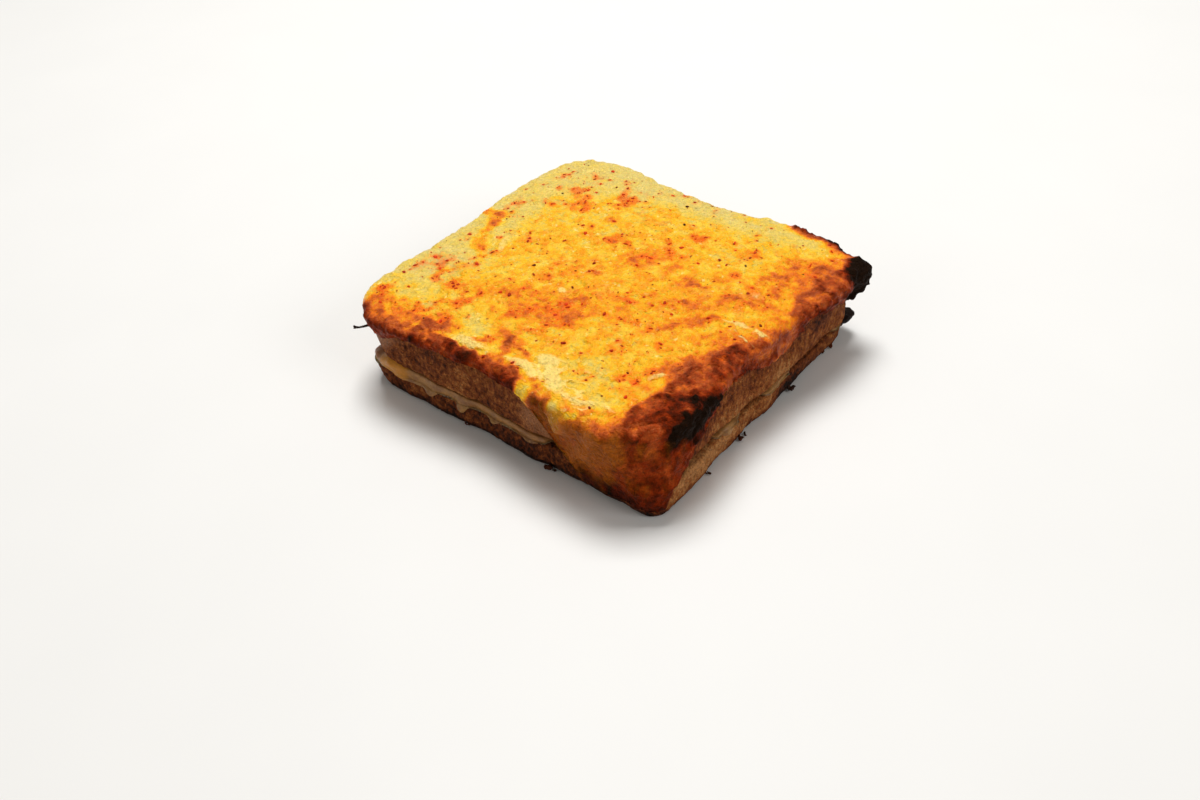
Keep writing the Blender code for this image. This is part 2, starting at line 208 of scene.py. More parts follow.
# Bake along the rim. A pair is the start and the end of a smooth change along x or y, or by the depth below
# the top of the rim. The tables list (place along the edge, bake), and the last of them where the browning
# of the right edge begins, as (y, x).
HALO_BAKE = 0.06
RIM_FRINGE = 0.15
EDGE_RAGGEDNESS = 2.6
NEAR_RIM_Y = -53.9
NEAR_RIM_SETBACK = 4.0
NEAR_SETBACK_X = (12.0, 20.0)
NEAR_RIM_EDGE = (1.2, -2.2)
NEAR_RIM_END_X = (46.0, 58.0)
NEAR_RIM_DARKENING = 0.25
NEAR_DARK_DEPTH = (0.0, 2.2)
NEAR_DARK_END_X = (9.0, 13.0)
DARKEST_RIM = 0.84
NEAR_FRINGE_REACH = (9.0, 0.0)
NEAR_FRINGE_END_X = (-26.0, -16.0)
RIGHT_RIM_EDGE = (-1.4, 2.4)
RIGHT_RIM_WIDENING = 4.0
RIGHT_WIDE_DEPTH = (2.0, 4.0)
RIGHT_DARK_DEPTH = (1.4, 4.0)
RIGHT_FRINGE_REACH = (-10.0, 0.0)
FAR_RIM_BAKE = 0.69
FAR_RIM_Y = (52.0, 56.5)
FAR_RIM_X = (31.0, 37.0)
FAR_RIM_SLANT = 0.06
NEAR_RIM_BAKE = (
    (-66, 0.74), (-54, 0.73), (-46, 0.6), (-40, 0.59), (-32, 0.68), (-20, 0.8), (-8, 0.76), (0, 0.7),
    (8, 0.74), (11, 0.72), (13.5, 0.28), (19, 0.14), (24, 0.3), (28, 0.16), (36, 0.2), (42, 0.5),
    (47, 0.62), (62, 0.72),
)
RIGHT_RIM_BAKE = (
    (-62, 0.68), (-55, 0.71), (-45, 0.77), (-36, 0.81), (-27, 0.72), (-15, 0.72), (-6, 0.69), (3, 0.64),
    (12, 0.67), (22, 0.71), (28, 0.72), (36, 0.67), (44, 0.6), (51, 0.86), (62, 0.74),
)
RIGHT_RIM_DARKENING = (
    (-62, 0.04), (-24, 0.08), (-6, 0.06), (8, 0.08), (18, 0.16), (34, 0.17), (42, 0.04), (50, 0.1),
)
RIGHT_RIM_START = (
    (-62, 42), (-50, 46), (-38, 49), (-20, 49.5), (-8, 54), (2, 60.5), (15, 60), (22, 57), (35, 59),
    (45, 60), (55, 62), (65, 64),
)

# Bake of the skin over the front corner, by x + y.
SKIN_BAKE = (
    (-46, 0.84), (-34, 0.81), (-28, 0.77), (-22, 0.76), (-15, 0.81), (-4, 0.82), (2, 0.82), (12, 0.8),
    (40, 0.76),
)
SKIN_GLAZE = (
    (-46, 0.5), (-34, 0.6), (-27, 0.7), (-21, 0.75), (-15, 0.62), (-8, 0.42), (0, 0.2), (5, 0.1),
    (14, 0.06), (40, 0.06),
)
DRIP_PALING = 0.20
SKIN_FOOT_BAKE = 0.20
SKIN_FOOT_HEIGHT = (5.0, 14.0)
SKIN_FOOT_FADE = (-16.0, -2.0)

# Golden cheese over the edges at the left and the back.
GOLDEN_BAKE = 0.34
GOLDEN_SHARE = 0.75
GOLDEN_DEPTH = (2.4, 5.0)
GOLDEN_LEFT_X = (-63.0, -57.0)
GOLDEN_BACK_Y = (56.0, 62.0)
GOLDEN_BACK_X = (20.0, 36.0)

# Bake that reaches down the sides too: (x, y, z, reach along x, y and z, amount).
SIDE_BAKE_SPOTS = (
    (64, -35, 25.6, 4.6, 9, 5, 0.46), (62.5, -46, 24, 4.6, 9, 5, 0.38),
    (58.5, -56.5, 24, 4.6, 4, 4.6, 0.22), (69, 48, 24, 6.5, 9, 9, 0.6),
    (23, -60.5, 24.8, 2.2, 4, 2.8, 0.24), (27.6, -60.5, 25.5, 3, 4, 4.8, -0.44),
    (40, 61, 27, 9, 5, 4, 0.22), (56, 58, 27, 7, 6, 5, 0.5),
)

# Creamy places on the cheese: (x, y, half length, half width, turn in degrees, amount).
CREAM_SPOTS = (
    (14, -46.5, 4.6, 3.2, 0, 0.95), (20, -51, 4, 2.6, -20, 0.8), (27, -54, 10, 2.6, -14, 0.6),
    (-12, -52.5, 9, 2.6, 6, 0.75), (6, -51.5, 5, 1.8, -6, 0.8), (-18, -42.5, 5, 2.8, 10, 0.5),
    (12, -52.5, 6, 2, -20, 0.75), (-6, -15, 3.4, 1.5, -42, 0.7), (52, 1, 7, 1.1, 8, 0.75),
    (56, -3.5, 5, 1, -20, 0.45), (49, 16, 5, 2, 10, 0.45), (61, 4, 4, 2.4, 60, 0.22),
    (-39.5, -4.5, 6, 2, 112, 0.62), (-48, 33, 9, 5, 50, 0.45), (-46, 52, 7, 5, 20, 0.45),
    (30, -15, 4, 2, 20, 0.42), (6, -6, 5, 1.6, 30, 0.35), (-27, -20, 6, 2, 20, 0.35),
    (38, -53, 6, 1.6, 20, 0.6), (44, -33, 5, 1.2, 65, 0.55), (22, 4, 5, 1.5, 35, 0.3),
)

# Where wisps of cream lie: ((x, y), width, amount).
WISP_PLACES = (((24, -50), 17, 1), ((56, -2), 12, 0.5), ((50, -36), 14, 0.8))

# Colours of the cheese by its bake and of the bread by its toasting, each (share, colour of the look).
CHEESE_STEPS = (
    (0, "pale"), (0.16, "straw"), (0.3, "yellow"), (0.44, "amber"), (0.56, "orange"), (0.68, "rust"),
    (0.8, "brown"), (0.9, "dark"), (1, "char"),
)
BREAD_STEPS = ((0, "crumb"), (0.3, "golden"), (0.55, "toasted"), (0.78, "dark_toast"), (1, "burnt"))

# Paprika and pepper: clusters (x, y, spread, count), how many flakes lie scattered between them, their
# sizes as (log mean, log spread) with limits in millimetres, their shapes and the seeds of their random
# draws.
PAPRIKA_CLUSTERS = (
    (-38, 38, 4.5, 16), (-33, 30, 4.5, 18), (-20, 42, 3.5, 13), (-52, 45, 2.6, 6), (-57, -28, 2.4, 5),
    (-46, -28, 4, 9), (38, -38, 4, 10), (31, -30, 4.5, 9), (-4, -26, 9, 16), (3, -33, 4.5, 8),
    (16, 34, 3.5, 8), (35, 36, 3.5, 8), (5, 14, 4.5, 8), (-16, -5, 4.5, 9), (17, -9, 3, 7),
    (47, 11, 4, 6), (27, -18, 4, 6), (-56, -45, 3, 7), (-41, -47, 4, 9), (-27, -37, 4.5, 8),
    (12, 22, 2.4, 5), (36, 22, 2.2, 5), (-16, 52, 3, 4), (53, 15, 2.6, 4), (-44, -22, 3, 3),
    (-35, -44, 2.6, 6), (-37, -31, 3.8, 6), (-52, -19, 4.6, 4),
)
PAPRIKA_SCATTERED = 520
PAPRIKA_SIZES = (-1.15, 0.5)
PAPRIKA_LIMITS = (0.15, 0.75)
PAPRIKA_THICKNESS = 0.30
PEPPER_COUNT = 45
PEPPER_SIZES = (-1.05, 0.35)
PEPPER_LIMITS = (0.18, 0.75)
PEPPER_THICKNESS = 0.6
FLAKE_UNEVENNESS = 0.55
FLAKE_NARROWNESS = (0.32, 0.85)
FLAKE_LIFT = 0.25
FULL_TURN = 6.28
PAPRIKA_SEED = 7
PAPRIKA_SHAPE_SEED = 11
PEPPER_SEED = 13
PEPPER_SHAPE_SEED = 17

# Where flakes can lie: the x and y they are scattered over, the bake beyond which the cheese is too dark for
# them, and how far the nearest shown point of the cheese may be.
FLAKE_REACH_X = (-59.0, 58.0)
FLAKE_REACH_Y = (-55.0, 57.0)
DARKEST_FLAKED = 0.66
FLAKE_SLIP = 0.8

# How oil from the paprika stains the cheese: the reach and the strength close to a flake and round it.
CLOSE_STAIN_REACH = 1.15
CLOSE_STAIN = 0.75
WIDE_STAIN_REACH = 3.4
WIDE_STAIN = 0.20

# Toasting of the bread, from 0 (golden) to 1 (burnt), and thin cheese film on it: (x, y, z, reach along x,
# y and z, amount). The spot along the near face of the lower slice is partly toast and partly painted
# shade.
UPPER_TOAST_SPOTS = (
    (-30, -59, 20, 22, 8, 9, 0.12), (66, 26, 24, 9, 14, 7, 0.22), (64, -10, 22, 8, 16, 8, 0.06),
    (62, -34, 22, 8, 9, 9, 0.16), (64, 38, 14, 8, 10, 5, -0.06), (62, -20, 13, 8, 12, 3.5, -0.22),
    (62, 8, 12, 8, 9, 3.5, -0.26),
)
LOWER_TOAST_AND_SHADE_SPOTS = (
    (63, 13, 4.5, 6, 7.5, 4, 0.42), (62, -8, 6, 6, 16, 5, -0.2), (62, 40, 5, 6, 12, 4, 0.04),
    # The spot at (0, -59) darkens the near face of the lower slice: partly toast, partly painted shade.
    (0, -59, 5, 70, 6, 6, 0.14), (-60, -52, 9, 8, 8, 4, -0.1), (62, -38, 8, 6, 18, 9, -0.5),
)
UPPER_FILM_SPOTS = (
    (17, -59, 19, 7, 6, 9, 0.62), (17, -59, 18, 1.8, 6, 2.6, 0.34), (24, -59, 14, 4, 6, 6, 0.45),
    (-49, -58, 21, 6.5, 7, 6, 0.62), (-44, -58, 23.5, 9, 7, 2.2, 0.36), (63, 6, 18, 6, 7, 4, 0.24),
)
GLASSY_SPOTS = ((-44.5, -58, 11.5, 6.5, 7, 6, 1.2),)
BURNT_FILLING_SPOTS = ((64, 52, 8, 8, 7, 9, 1.2),)

# Burnt crumbs stuck to the foot of the sandwich, each (x, y, size), and the burnt whisker at the left
# corner, as points (x, y, z) along its strands and the share of the whisker's radius that each has.
CRUMB_SEED = 19
LUMPS_PER_CRUMB = 3
FOOT_CRUMBS = (
    (62.2, -15, 1), (62.4, -12.5, 0.6), (62.8, 13.5, 1.2), (63, 16.5, 0.8), (62.4, 37, 1),
    (61.8, 41, 1.3), (60.6, 45, 0.9), (21, -58.4, 1), (23.4, -58.2, 0.5), (-13, -57.8, 0.7),
    (-47, -56.4, 0.8), (62.3, -33, 0.6), (-55.8, -20, 0.8), (-57.2, 20, 0.7), (-20, 57.2, 0.9),
    (15, 57.6, 0.7), (40, 57.4, 0.8),
)
WHISKER_STRANDS = (
    ((-51, -58.6, 25), (-53, -59.2, 24), (-55, -59.6, 23), (-57, -59.7, 22), (-58.4, -59.6, 21.2)),
    ((-55.4, -59.6, 22.8), (-56.4, -60, 22.9), (-57.4, -60.3, 22.8)),
    ((-57.2, -59.7, 21.9), (-57.8, -59.4, 22.1), (-58.4, -59.2, 22)),
)
WHISKER_SHARES = (1.0, 0.7, 0.9)
STRAND_SIDES = 8
STRAND_STEPS = 28
STRAND_TAPER = 0.45

# The camera in the layout frame: place in millimetres, and its right, up and backward directions.
CAMERA_PLACE = (190.2, -233.2, 231.2)
CAMERA_RIGHT = (0.7924, 0.6077, -0.0525)
CAMERA_UP = (-0.3620, 0.5377, 0.7615)
CAMERA_BACK = (0.4910, -0.5844, 0.6461)
CAMERA_LENS = 33.0
CAMERA_SENSOR = 36.0

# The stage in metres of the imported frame: half the floor's side, how far it lies below the sandwich, the
# place and side of each light, and the colour of the light from all round.
FLOOR_REACH = 4.0
FLOOR_DROP = 0.0001
KEY_PLACE = (-0.34, 0.42, 1.27)
KEY_SIZE = 0.6
SIDE_PLACE = (1.3, 0.1, 0.8)
SIDE_SIZE = 0.7
FILL_PLACE = (-0.3, -1.3, 0.7)
FILL_SIZE = 0.8
SKY_COLOUR = (1.0, 0.95, 0.88, 1.0)


# ----------------------------------------------------------------------------
# Small sums


def linear(red, green, blue):
    """Scene colour from display values of 0 to 255."""
    shares = (value / 255.0 for value in (red, green, blue))
    return tuple(share / 12.92 if share <= 0.04045 else ((share + 0.055) / 1.055) ** 2.4 for share in shares)


def blend(first, second, share):
    """Value between two others."""
    return first + (second - first) * share


def ramp(start, end, value):
    """Smooth step from 0 at start to 1 at end."""
    share = np.clip((value - start) / (end - start), 0.0, 1.0)
    return share * share * (3.0 - 2.0 * share)


def hump(x, y, place, width):
    """Smooth bump that is 1 at a place and fades over its width."""
    return np.exp(-((x - place[0]) ** 2 + (y - place[1]) ** 2) / width**2)


def waves(x, y, table):
    """Sum of a few plane waves, which makes a surface gently uneven."""
    return sum(amount * np.sin(rate_x * x + rate_y * y + phase) for amount, rate_x, rate_y, phase in table)


def along(table, value):
    """Value read from a table of (place, value) steps."""
    return np.interp(value, [place for place, _ in table], [amount for _, amount in table])


def oval_spots(x, y, table):
    """Sum of soft-edged ovals, each (x, y, half length, half width, turn, amount)."""
    total = np.zeros_like(x)
    for place_x, place_y, length, width, turn, amount in table:
        cosine, sine = math.cos(math.radians(turn)), math.sin(math.radians(turn))
        lengthwise = ((x - place_x) * cosine + (y - place_y) * sine) / length
        crosswise = ((y - place_y) * cosine - (x - place_x) * sine) / width
        total += amount * np.exp(-((lengthwise**2 + crosswise**2) ** 1.5))
    return total


def round_spots(points, table):
    """Sum of soft-edged ellipsoids, each (x, y, z, three reaches, amount)."""
    total = np.zeros(len(points))
    for x, y, z, reach_x, reach_y, reach_z, amount in table:
        apart = (points - (x, y, z)) / (reach_x, reach_y, reach_z)
        total += amount * np.exp(-((apart**2).sum(axis=1) ** 1.5))
    return total


# ----------------------------------------------------------------------------
# Noise


def lattice_values(cells, seed):
    """Repeatable random number from 0 to 1 for each whole-number cell (x, y, z)."""
    mixed = np.bitwise_xor.reduce(cells * CELL_FACTORS, axis=-1) ^ (seed * SEED_FACTOR)
    mixed = mixed & LOW_BITS
    for shift, factor in MIXING_ROUNDS:
        mixed = (mixed ^ (mixed >> shift)) * factor & LOW_BITS
    return ((mixed ^ (mixed >> 16)) & 0xFFFFFF) / float(0xFFFFFF)


def noise(points, size, seed):
    """Smooth noise from -1 to 1 whose features measure about a size in millimetres."""
    places = points @ LATTICE_TURN / size
    cells = np.floor(places)
    share = places - cells
    share = share * share * (3.0 - 2.0 * share)
    cells = cells.astype(np.int64)
    total = np.zeros(len(points))
    for corner in itertools.product((0, 1), repeat=3):
        weight = np.prod(np.where(corner, share, 1.0 - share), axis=1)
        total += weight * lattice_values(cells + corner, seed)
    return 2.0 * total - 1.0


def layered(points, size, seed, layers=3):
    """Noise with finer and weaker layers on top, from about -1 to 1."""
    total, amount, whole = np.zeros(len(points)), 1.0, 0.0
    for layer in range(layers):
        total += amount * noise(points, size / 2.1**layer, seed + layer)
        whole += amount
        amount *= 0.5
    return total / whole * 1.3


def drifted(points, size, amount, seed):
    """Points moved about by noise, so that shapes drawn at them get wandering edges."""
    moves = [noise(points, size, seed + axis) for axis in range(3)]
    return points + amount * np.stack(moves, axis=1)


def nearest_cell(points, size, seed):
    """Distance to the nearest of scattered centres, in shares of their spacing, and that centre's value."""
    places = points / size
    cells = np.floor(places).astype(np.int64)
    nearest = np.full(len(points), 9.0)
    owner = np.zeros(len(points))
    for step in itertools.product((-1, 0, 1), repeat=3):
        cell = cells + step
        centre = cell + np.stack([lattice_values(cell, seed + axis) for axis in range(3)], axis=1)
        distance = np.sqrt(((places - centre) ** 2).sum(axis=1))
        closer = distance < nearest
        nearest = np.where(closer, distance, nearest)
        owner = np.where(closer, lattice_values(cell, seed + 3), owner)
    return nearest, owner


def blisters(points, size, seed):
    """Round bumps of uneven height, from 0 to 1."""
    distance, owner = nearest_cell(points, size, seed)
    return (1.0 - ramp(0.0, 0.62, distance)) * owner


# ----------------------------------------------------------------------------
# Form of the sandwich


def across_corners(values, x, y):
    """Value at a place, blended from its values at the four corners."""
    share_x = np.clip((x / HALF_SIDE + 1.0) / 2.0, 0.0, 1.0)
    share_y = np.clip((y / HALF_SIDE + 1.0) / 2.0, 0.0, 1.0)
    near = blend(values[0], values[1], share_x)
    far = blend(values[3], values[2], share_x)
    return blend(near, far, share_y)


def outline(corners, bows):
    """Rounded plan outline as rows x, y, outward x and outward y, anticlockwise from the left corner."""
    signs = ((-1.0, -1.0), (1.0, -1.0), (1.0, 1.0), (-1.0, 1.0))
    arcs = []
    for turn, ((x, y, radius), (sign_x, sign_y)) in enumerate(zip(corners, signs)):
        arcs.append((x - sign_x * radius, y - sign_y * radius, radius, math.pi * (1.0 + turn / 2.0)))
    arc_share = np.arange(ARC_POINTS) / ARC_POINTS
    edge_share = np.arange(EDGE_POINTS) / EDGE_POINTS
    runs = []
    for turn, (x, y, radius, start) in enumerate(arcs):
        angles = start + 0.5 * math.pi * arc_share
        out_x, out_y = np.cos(angles), np.sin(angles)
        runs.append(np.stack([x + radius * out_x, y + radius * out_y, out_x, out_y]))
        next_x, next_y, next_radius, _ = arcs[(turn + 1) % 4]
        edge_out = (math.cos(start + math.pi / 2.0), math.sin(start + math.pi / 2.0))
        inward = bows[turn] * np.sin(math.pi * edge_share) ** 2
        edge_x = blend(x + radius * edge_out[0], next_x + next_radius * edge_out[0], edge_share)
        edge_y = blend(y + radius * edge_out[1], next_y + next_radius * edge_out[1], edge_share)
        outward = np.stack([np.full(EDGE_POINTS, edge_out[0]), np.full(EDGE_POINTS, edge_out[1])])
        runs.append(np.vstack([edge_x - edge_out[0] * inward, edge_y - edge_out[1] * inward, outward]))
    rows = np.concatenate(runs, axis=1)
    return moved_out(rows, waves(rows[0], rows[1], OUTLINE_WAVES))


def moved_out(rows, distance):
    """Outline moved along its outward directions."""
    return np.stack([rows[0] + rows[2] * distance, rows[1] + rows[3] * distance, rows[2], rows[3]])


FOOT = outline(FOOT_CORNERS, BREAD_BOWS)
LOWER_TOP = outline(LOWER_TOP_CORNERS, BREAD_BOWS)
UPPER_FOOT = outline(UPPER_FOOT_CORNERS, BREAD_BOWS)
UPPER_TOP = outline(UPPER_TOP_CORNERS, UPPER_TOP_BOWS)
RIM = outline(RIM_CORNERS, RIM_BOWS)


def frame_shift():
    """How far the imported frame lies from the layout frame, by the box of the lower slice in each."""
    low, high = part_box("bread_lower")
    shifts = []
    for axis in range(2):
        values = np.concatenate([FOOT[axis], LOWER_TOP[axis]])
        shifts.append((values.min() + values.max()) / 2.0 - (low[axis] + high[axis]) / 2.0 / MM)
    return np.array([shifts[0], shifts[1], 0.0])


SHIFT = frame_shift()


def metres(points):
    """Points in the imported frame, in metres, from points in the layout frame."""
    return (np.asarray(points) - SHIFT) * MM


def ground(x, y):
    """Height of the underside of the sandwich."""
    return np.zeros_like(x)


def lower_top(x, y):
    """Height of the lower slice's top."""
    return across_corners(LOWER_TOP_HEIGHTS, x, y)


def upper_foot(x, y):
    """Height of the upper slice's underside."""
    return across_corners(UPPER_FOOT_HEIGHTS, x, y)


def edge_rise(x, y):
    """How much higher the edges stand at their middles than at the corners, most of all the near edge."""
    rise = blend(NEAR_EDGE_RISE, EDGE_RISE, ramp(-HALF_SIDE, 0.0, y))
    return rise * (1.0 - np.minimum(np.minimum(np.abs(x), np.abs(y)) / HALF_SIDE, 1.0) ** 2)


def near_thinning(x, y):
    """1 along the near edge, where the rim is thin and the bread reaches up to it, and 0 elsewhere."""
    return ramp(*NEAR_THIN_Y, y) * ramp(*NEAR_THIN_START_X, x) * (1.0 - ramp(*NEAR_THIN_END_X, x))


def upper_top(x, y):
    """Height of the upper slice's top."""
    rise = edge_rise(x, y) + NEAR_BREAD_RISE * near_thinning(x, y)
    return across_corners(UPPER_TOP_HEIGHTS, x, y) + rise


def rim_roll(x, y):
    """Height of the rolled rim of the cheese."""
    return RIM_ROLL - NEAR_ROLL_THINNING * near_thinning(x, y)


def rim_top(x, y):
    """Height of the cheese where its top meets the rolled rim."""
    return across_corners(RIM_TOP_HEIGHTS, x, y) + edge_rise(x, y)


def dome(x, y):
    """Height of the cheese's top before its relief."""
    middle = np.maximum(0.0, 1.0 - (np.maximum(np.abs(x), np.abs(y)) / HALF_SIDE) ** 2)
    return rim_top(x, y) + DOME_RISE * ramp(0.0, 1.0, middle) + waves(x, y, TOP_WAVES) * middle


def skin_cover(x, y):
    """1 where the cheese runs down over the front corner, and 0 elsewhere."""
    cover = ramp(*SKIN_START, x + y) * (1.0 - ramp(*SKIN_END, x + y))
    return np.where(x - y < SKIN_REACH, 0.0, cover)


def body_outline(heights):
    """Outline of the stacked bread at a height of its own for each point."""
    shapes = [FOOT, LOWER_TOP, UPPER_FOOT, UPPER_TOP]
    heights_of = (ground, lower_top, upper_foot, upper_top)
    levels = [height_of(*shape[:2]) for height_of, shape in zip(heights_of, shapes)]
    rows = UPPER_TOP.copy()
    for step in (2, 1, 0):
        share = (heights - levels[step]) / (levels[step + 1] - levels[step])
        rows = np.where(heights <= levels[step + 1], blend(shapes[step], shapes[step + 1], share), rows)
    return rows


def ring(rows, distance, heights):
    """Ring of points (x, y, z) from an outline, moved out by a distance and set at a height."""
    placed = moved_out(rows, distance)
    return np.stack([placed[0], placed[1], np.broadcast_to(heights, placed[0].shape)], axis=1)


def shrunk(rows, share, height_of):
    """Ring drawn towards the middle, set at the height that a function gives for each place."""
    x = blend(rows[0].mean(), rows[0], share)
    y = blend(rows[1].mean(), rows[1], share)
    return np.stack([x, y, height_of(x, y) + np.zeros(len(x))], axis=1)


# ----------------------------------------------------------------------------
# Meshes


def even_grid(edge):
    """Even grid of x and y inside a closed outline of four sides, which keeps the outline's points.

    The corners of the grid sit at the middles of the outline's rounded corners. The inside starts as a blend
    of the four sides and is then evened out by averaging.
    """
    rolled = np.roll(edge, -(ARC_POINTS // 2), axis=0)
    closed = np.vstack([rolled, rolled[:1]])
    near = closed[: SIDE_POINTS + 1]
    right = closed[SIDE_POINTS : 2 * SIDE_POINTS + 1]
    far = closed[2 * SIDE_POINTS : 3 * SIDE_POINTS + 1][::-1]
    left = closed[3 * SIDE_POINTS :][::-1]
    u = np.linspace(0.0, 1.0, SIDE_POINTS + 1)[None, :, None]
    v = np.linspace(0.0, 1.0, SIDE_POINTS + 1)[:, None, None]
    sides = blend(near[None], far[None], v) + blend(left[:, None], right[:, None], u)
    corners = blend(blend(near[0], near[-1], u), blend(far[0], far[-1], u), v)
    grid = sides - corners
    for _ in range(GRID_EVENING):
        inside = grid[:-2, 1:-1] + grid[2:, 1:-1] + grid[1:-1, :-2] + grid[1:-1, 2:]
        grid[1:-1, 1:-1] = inside / 4.0
    return grid


def border_numbers(first):
    """Numbers of an outline's points laid round the border of a grid, with -1 inside."""
    count = 4 * SIDE_POINTS
    numbers = first + np.roll(np.arange(count), -(ARC_POINTS // 2))
    numbers = np.append(numbers, numbers[0])
    grid = np.full((SIDE_POINTS + 1, SIDE_POINTS + 1), -1)
    grid[0] = numbers[: SIDE_POINTS + 1]
    grid[:, -1] = numbers[SIDE_POINTS : 2 * SIDE_POINTS + 1]
    grid[-1] = numbers[2 * SIDE_POINTS : 3 * SIDE_POINTS + 1][::-1]
    grid[:, 0] = numbers[3 * SIDE_POINTS :][::-1]
    return grid


class Shell:
    """Points and faces of one closed piece, built up ring by ring from its underside to its top."""

    def __init__(self, rings):
        self.lowest, self.highest = rings[0], rings[-1]
        self.count = len(rings[0])
        self.last_start = self.count * (len(rings) - 1)
        self.total = self.count * len(rings)
        self.points = list(rings)
        self.faces = []
        here, after = np.arange(self.count), np.roll(np.arange(self.count), -1)
        for low in range(0, self.last_start, self.count):
            high = low + self.count
            self.faces.append(np.stack([low + here, low + after, high + after, high + here], axis=1))

    def add_points(self, points):
        """Keep further points, and give the number of the first of them."""
        first = self.total
        self.points.append(points)
        self.total += len(points)
        return first

    def end(self, upper):
        """Ring at the top or the underside, and the number of its first point."""
        return (self.highest, self.last_start) if upper else (self.lowest, 0)

    def close_with_fan(self, upper):
        """Close an end that is out of sight with triangles about its middle."""
        level, first = self.end(upper)
        middle = self.add_points(level.mean(axis=0)[None])
        here, after = np.arange(self.count), np.roll(np.arange(self.count), -1)
        edge = (here, after) if upper else (after, here)
        self.faces.append(np.stack([np.full(self.count, middle), first + edge[0], first + edge[1]], axis=1))

    def close_with_grid(self, upper, height_of):
        """Close a visible end with an even grid, set at the height that a function gives."""
        level, first = self.end(upper)
        numbers = border_numbers(first)
        inside = even_grid(level[:, :2])[1:-1, 1:-1].reshape(-1, 2)
        heights = height_of(inside[:, 0], inside[:, 1]) + np.zeros(len(inside))
        start = self.add_points(np.column_stack([inside, heights]))
        size = SIDE_POINTS - 1
        numbers[1:-1, 1:-1] = start + np.arange(size * size).reshape(size, size)
        quads = np.stack([numbers[:-1, :-1], numbers[:-1, 1:], numbers[1:, 1:], numbers[1:, :-1]], axis=-1)
        quads = quads.reshape(-1, 4)
        self.faces.append(quads if upper else quads[:, ::-1])

    def mesh(self, name):
        """Blender mesh of the shell, in millimetres of the layout frame."""
        faces = [face for group in self.faces for face in group.tolist()]
        data = bpy.data.meshes.new(name)
        data.from_pydata(np.vstack(self.points).tolist(), [], faces)
        data.update()
        return data


def mesh_points(data):
    """Points of a mesh as an array of (x, y, z)."""
    values = np.empty(len(data.vertices) * 3)
    data.vertices.foreach_get("co", values)
    return values.reshape(-1, 3)


def set_mesh_points(data, points):
    """Move every point of a mesh."""
    data.vertices.foreach_set("co", np.ascontiguousarray(points, dtype=float).ravel())
    data.update()


def mesh_normals(data):
    """Outward direction at each point of a mesh."""
    values = np.empty(len(data.vertices) * 3, np.float32)
    data.vertex_normals.foreach_get("vector", values)
    return values.reshape(-1, 3).astype(float)


def set_field(data, name, values):
    """Keep a number for each point, for the piece's finish to read."""
    field = data.attributes.new(name, "FLOAT", "POINT")
    field.data.foreach_set("value", np.clip(values, 0.0, 1.5).astype(np.float32))


def add_piece(name, data, material):
    """Object that shows a mesh made in the layout frame, riding on the sandwich."""
    set_mesh_points(data, metres(mesh_points(data)))
    data.shade_smooth()
    data.materials.append(material)
    piece = bpy.data.objects.new(name, data)
    bpy.context.scene.collection.objects.link(piece)
    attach(piece, "root")
    return piece


# ----------------------------------------------------------------------------
# Finishes


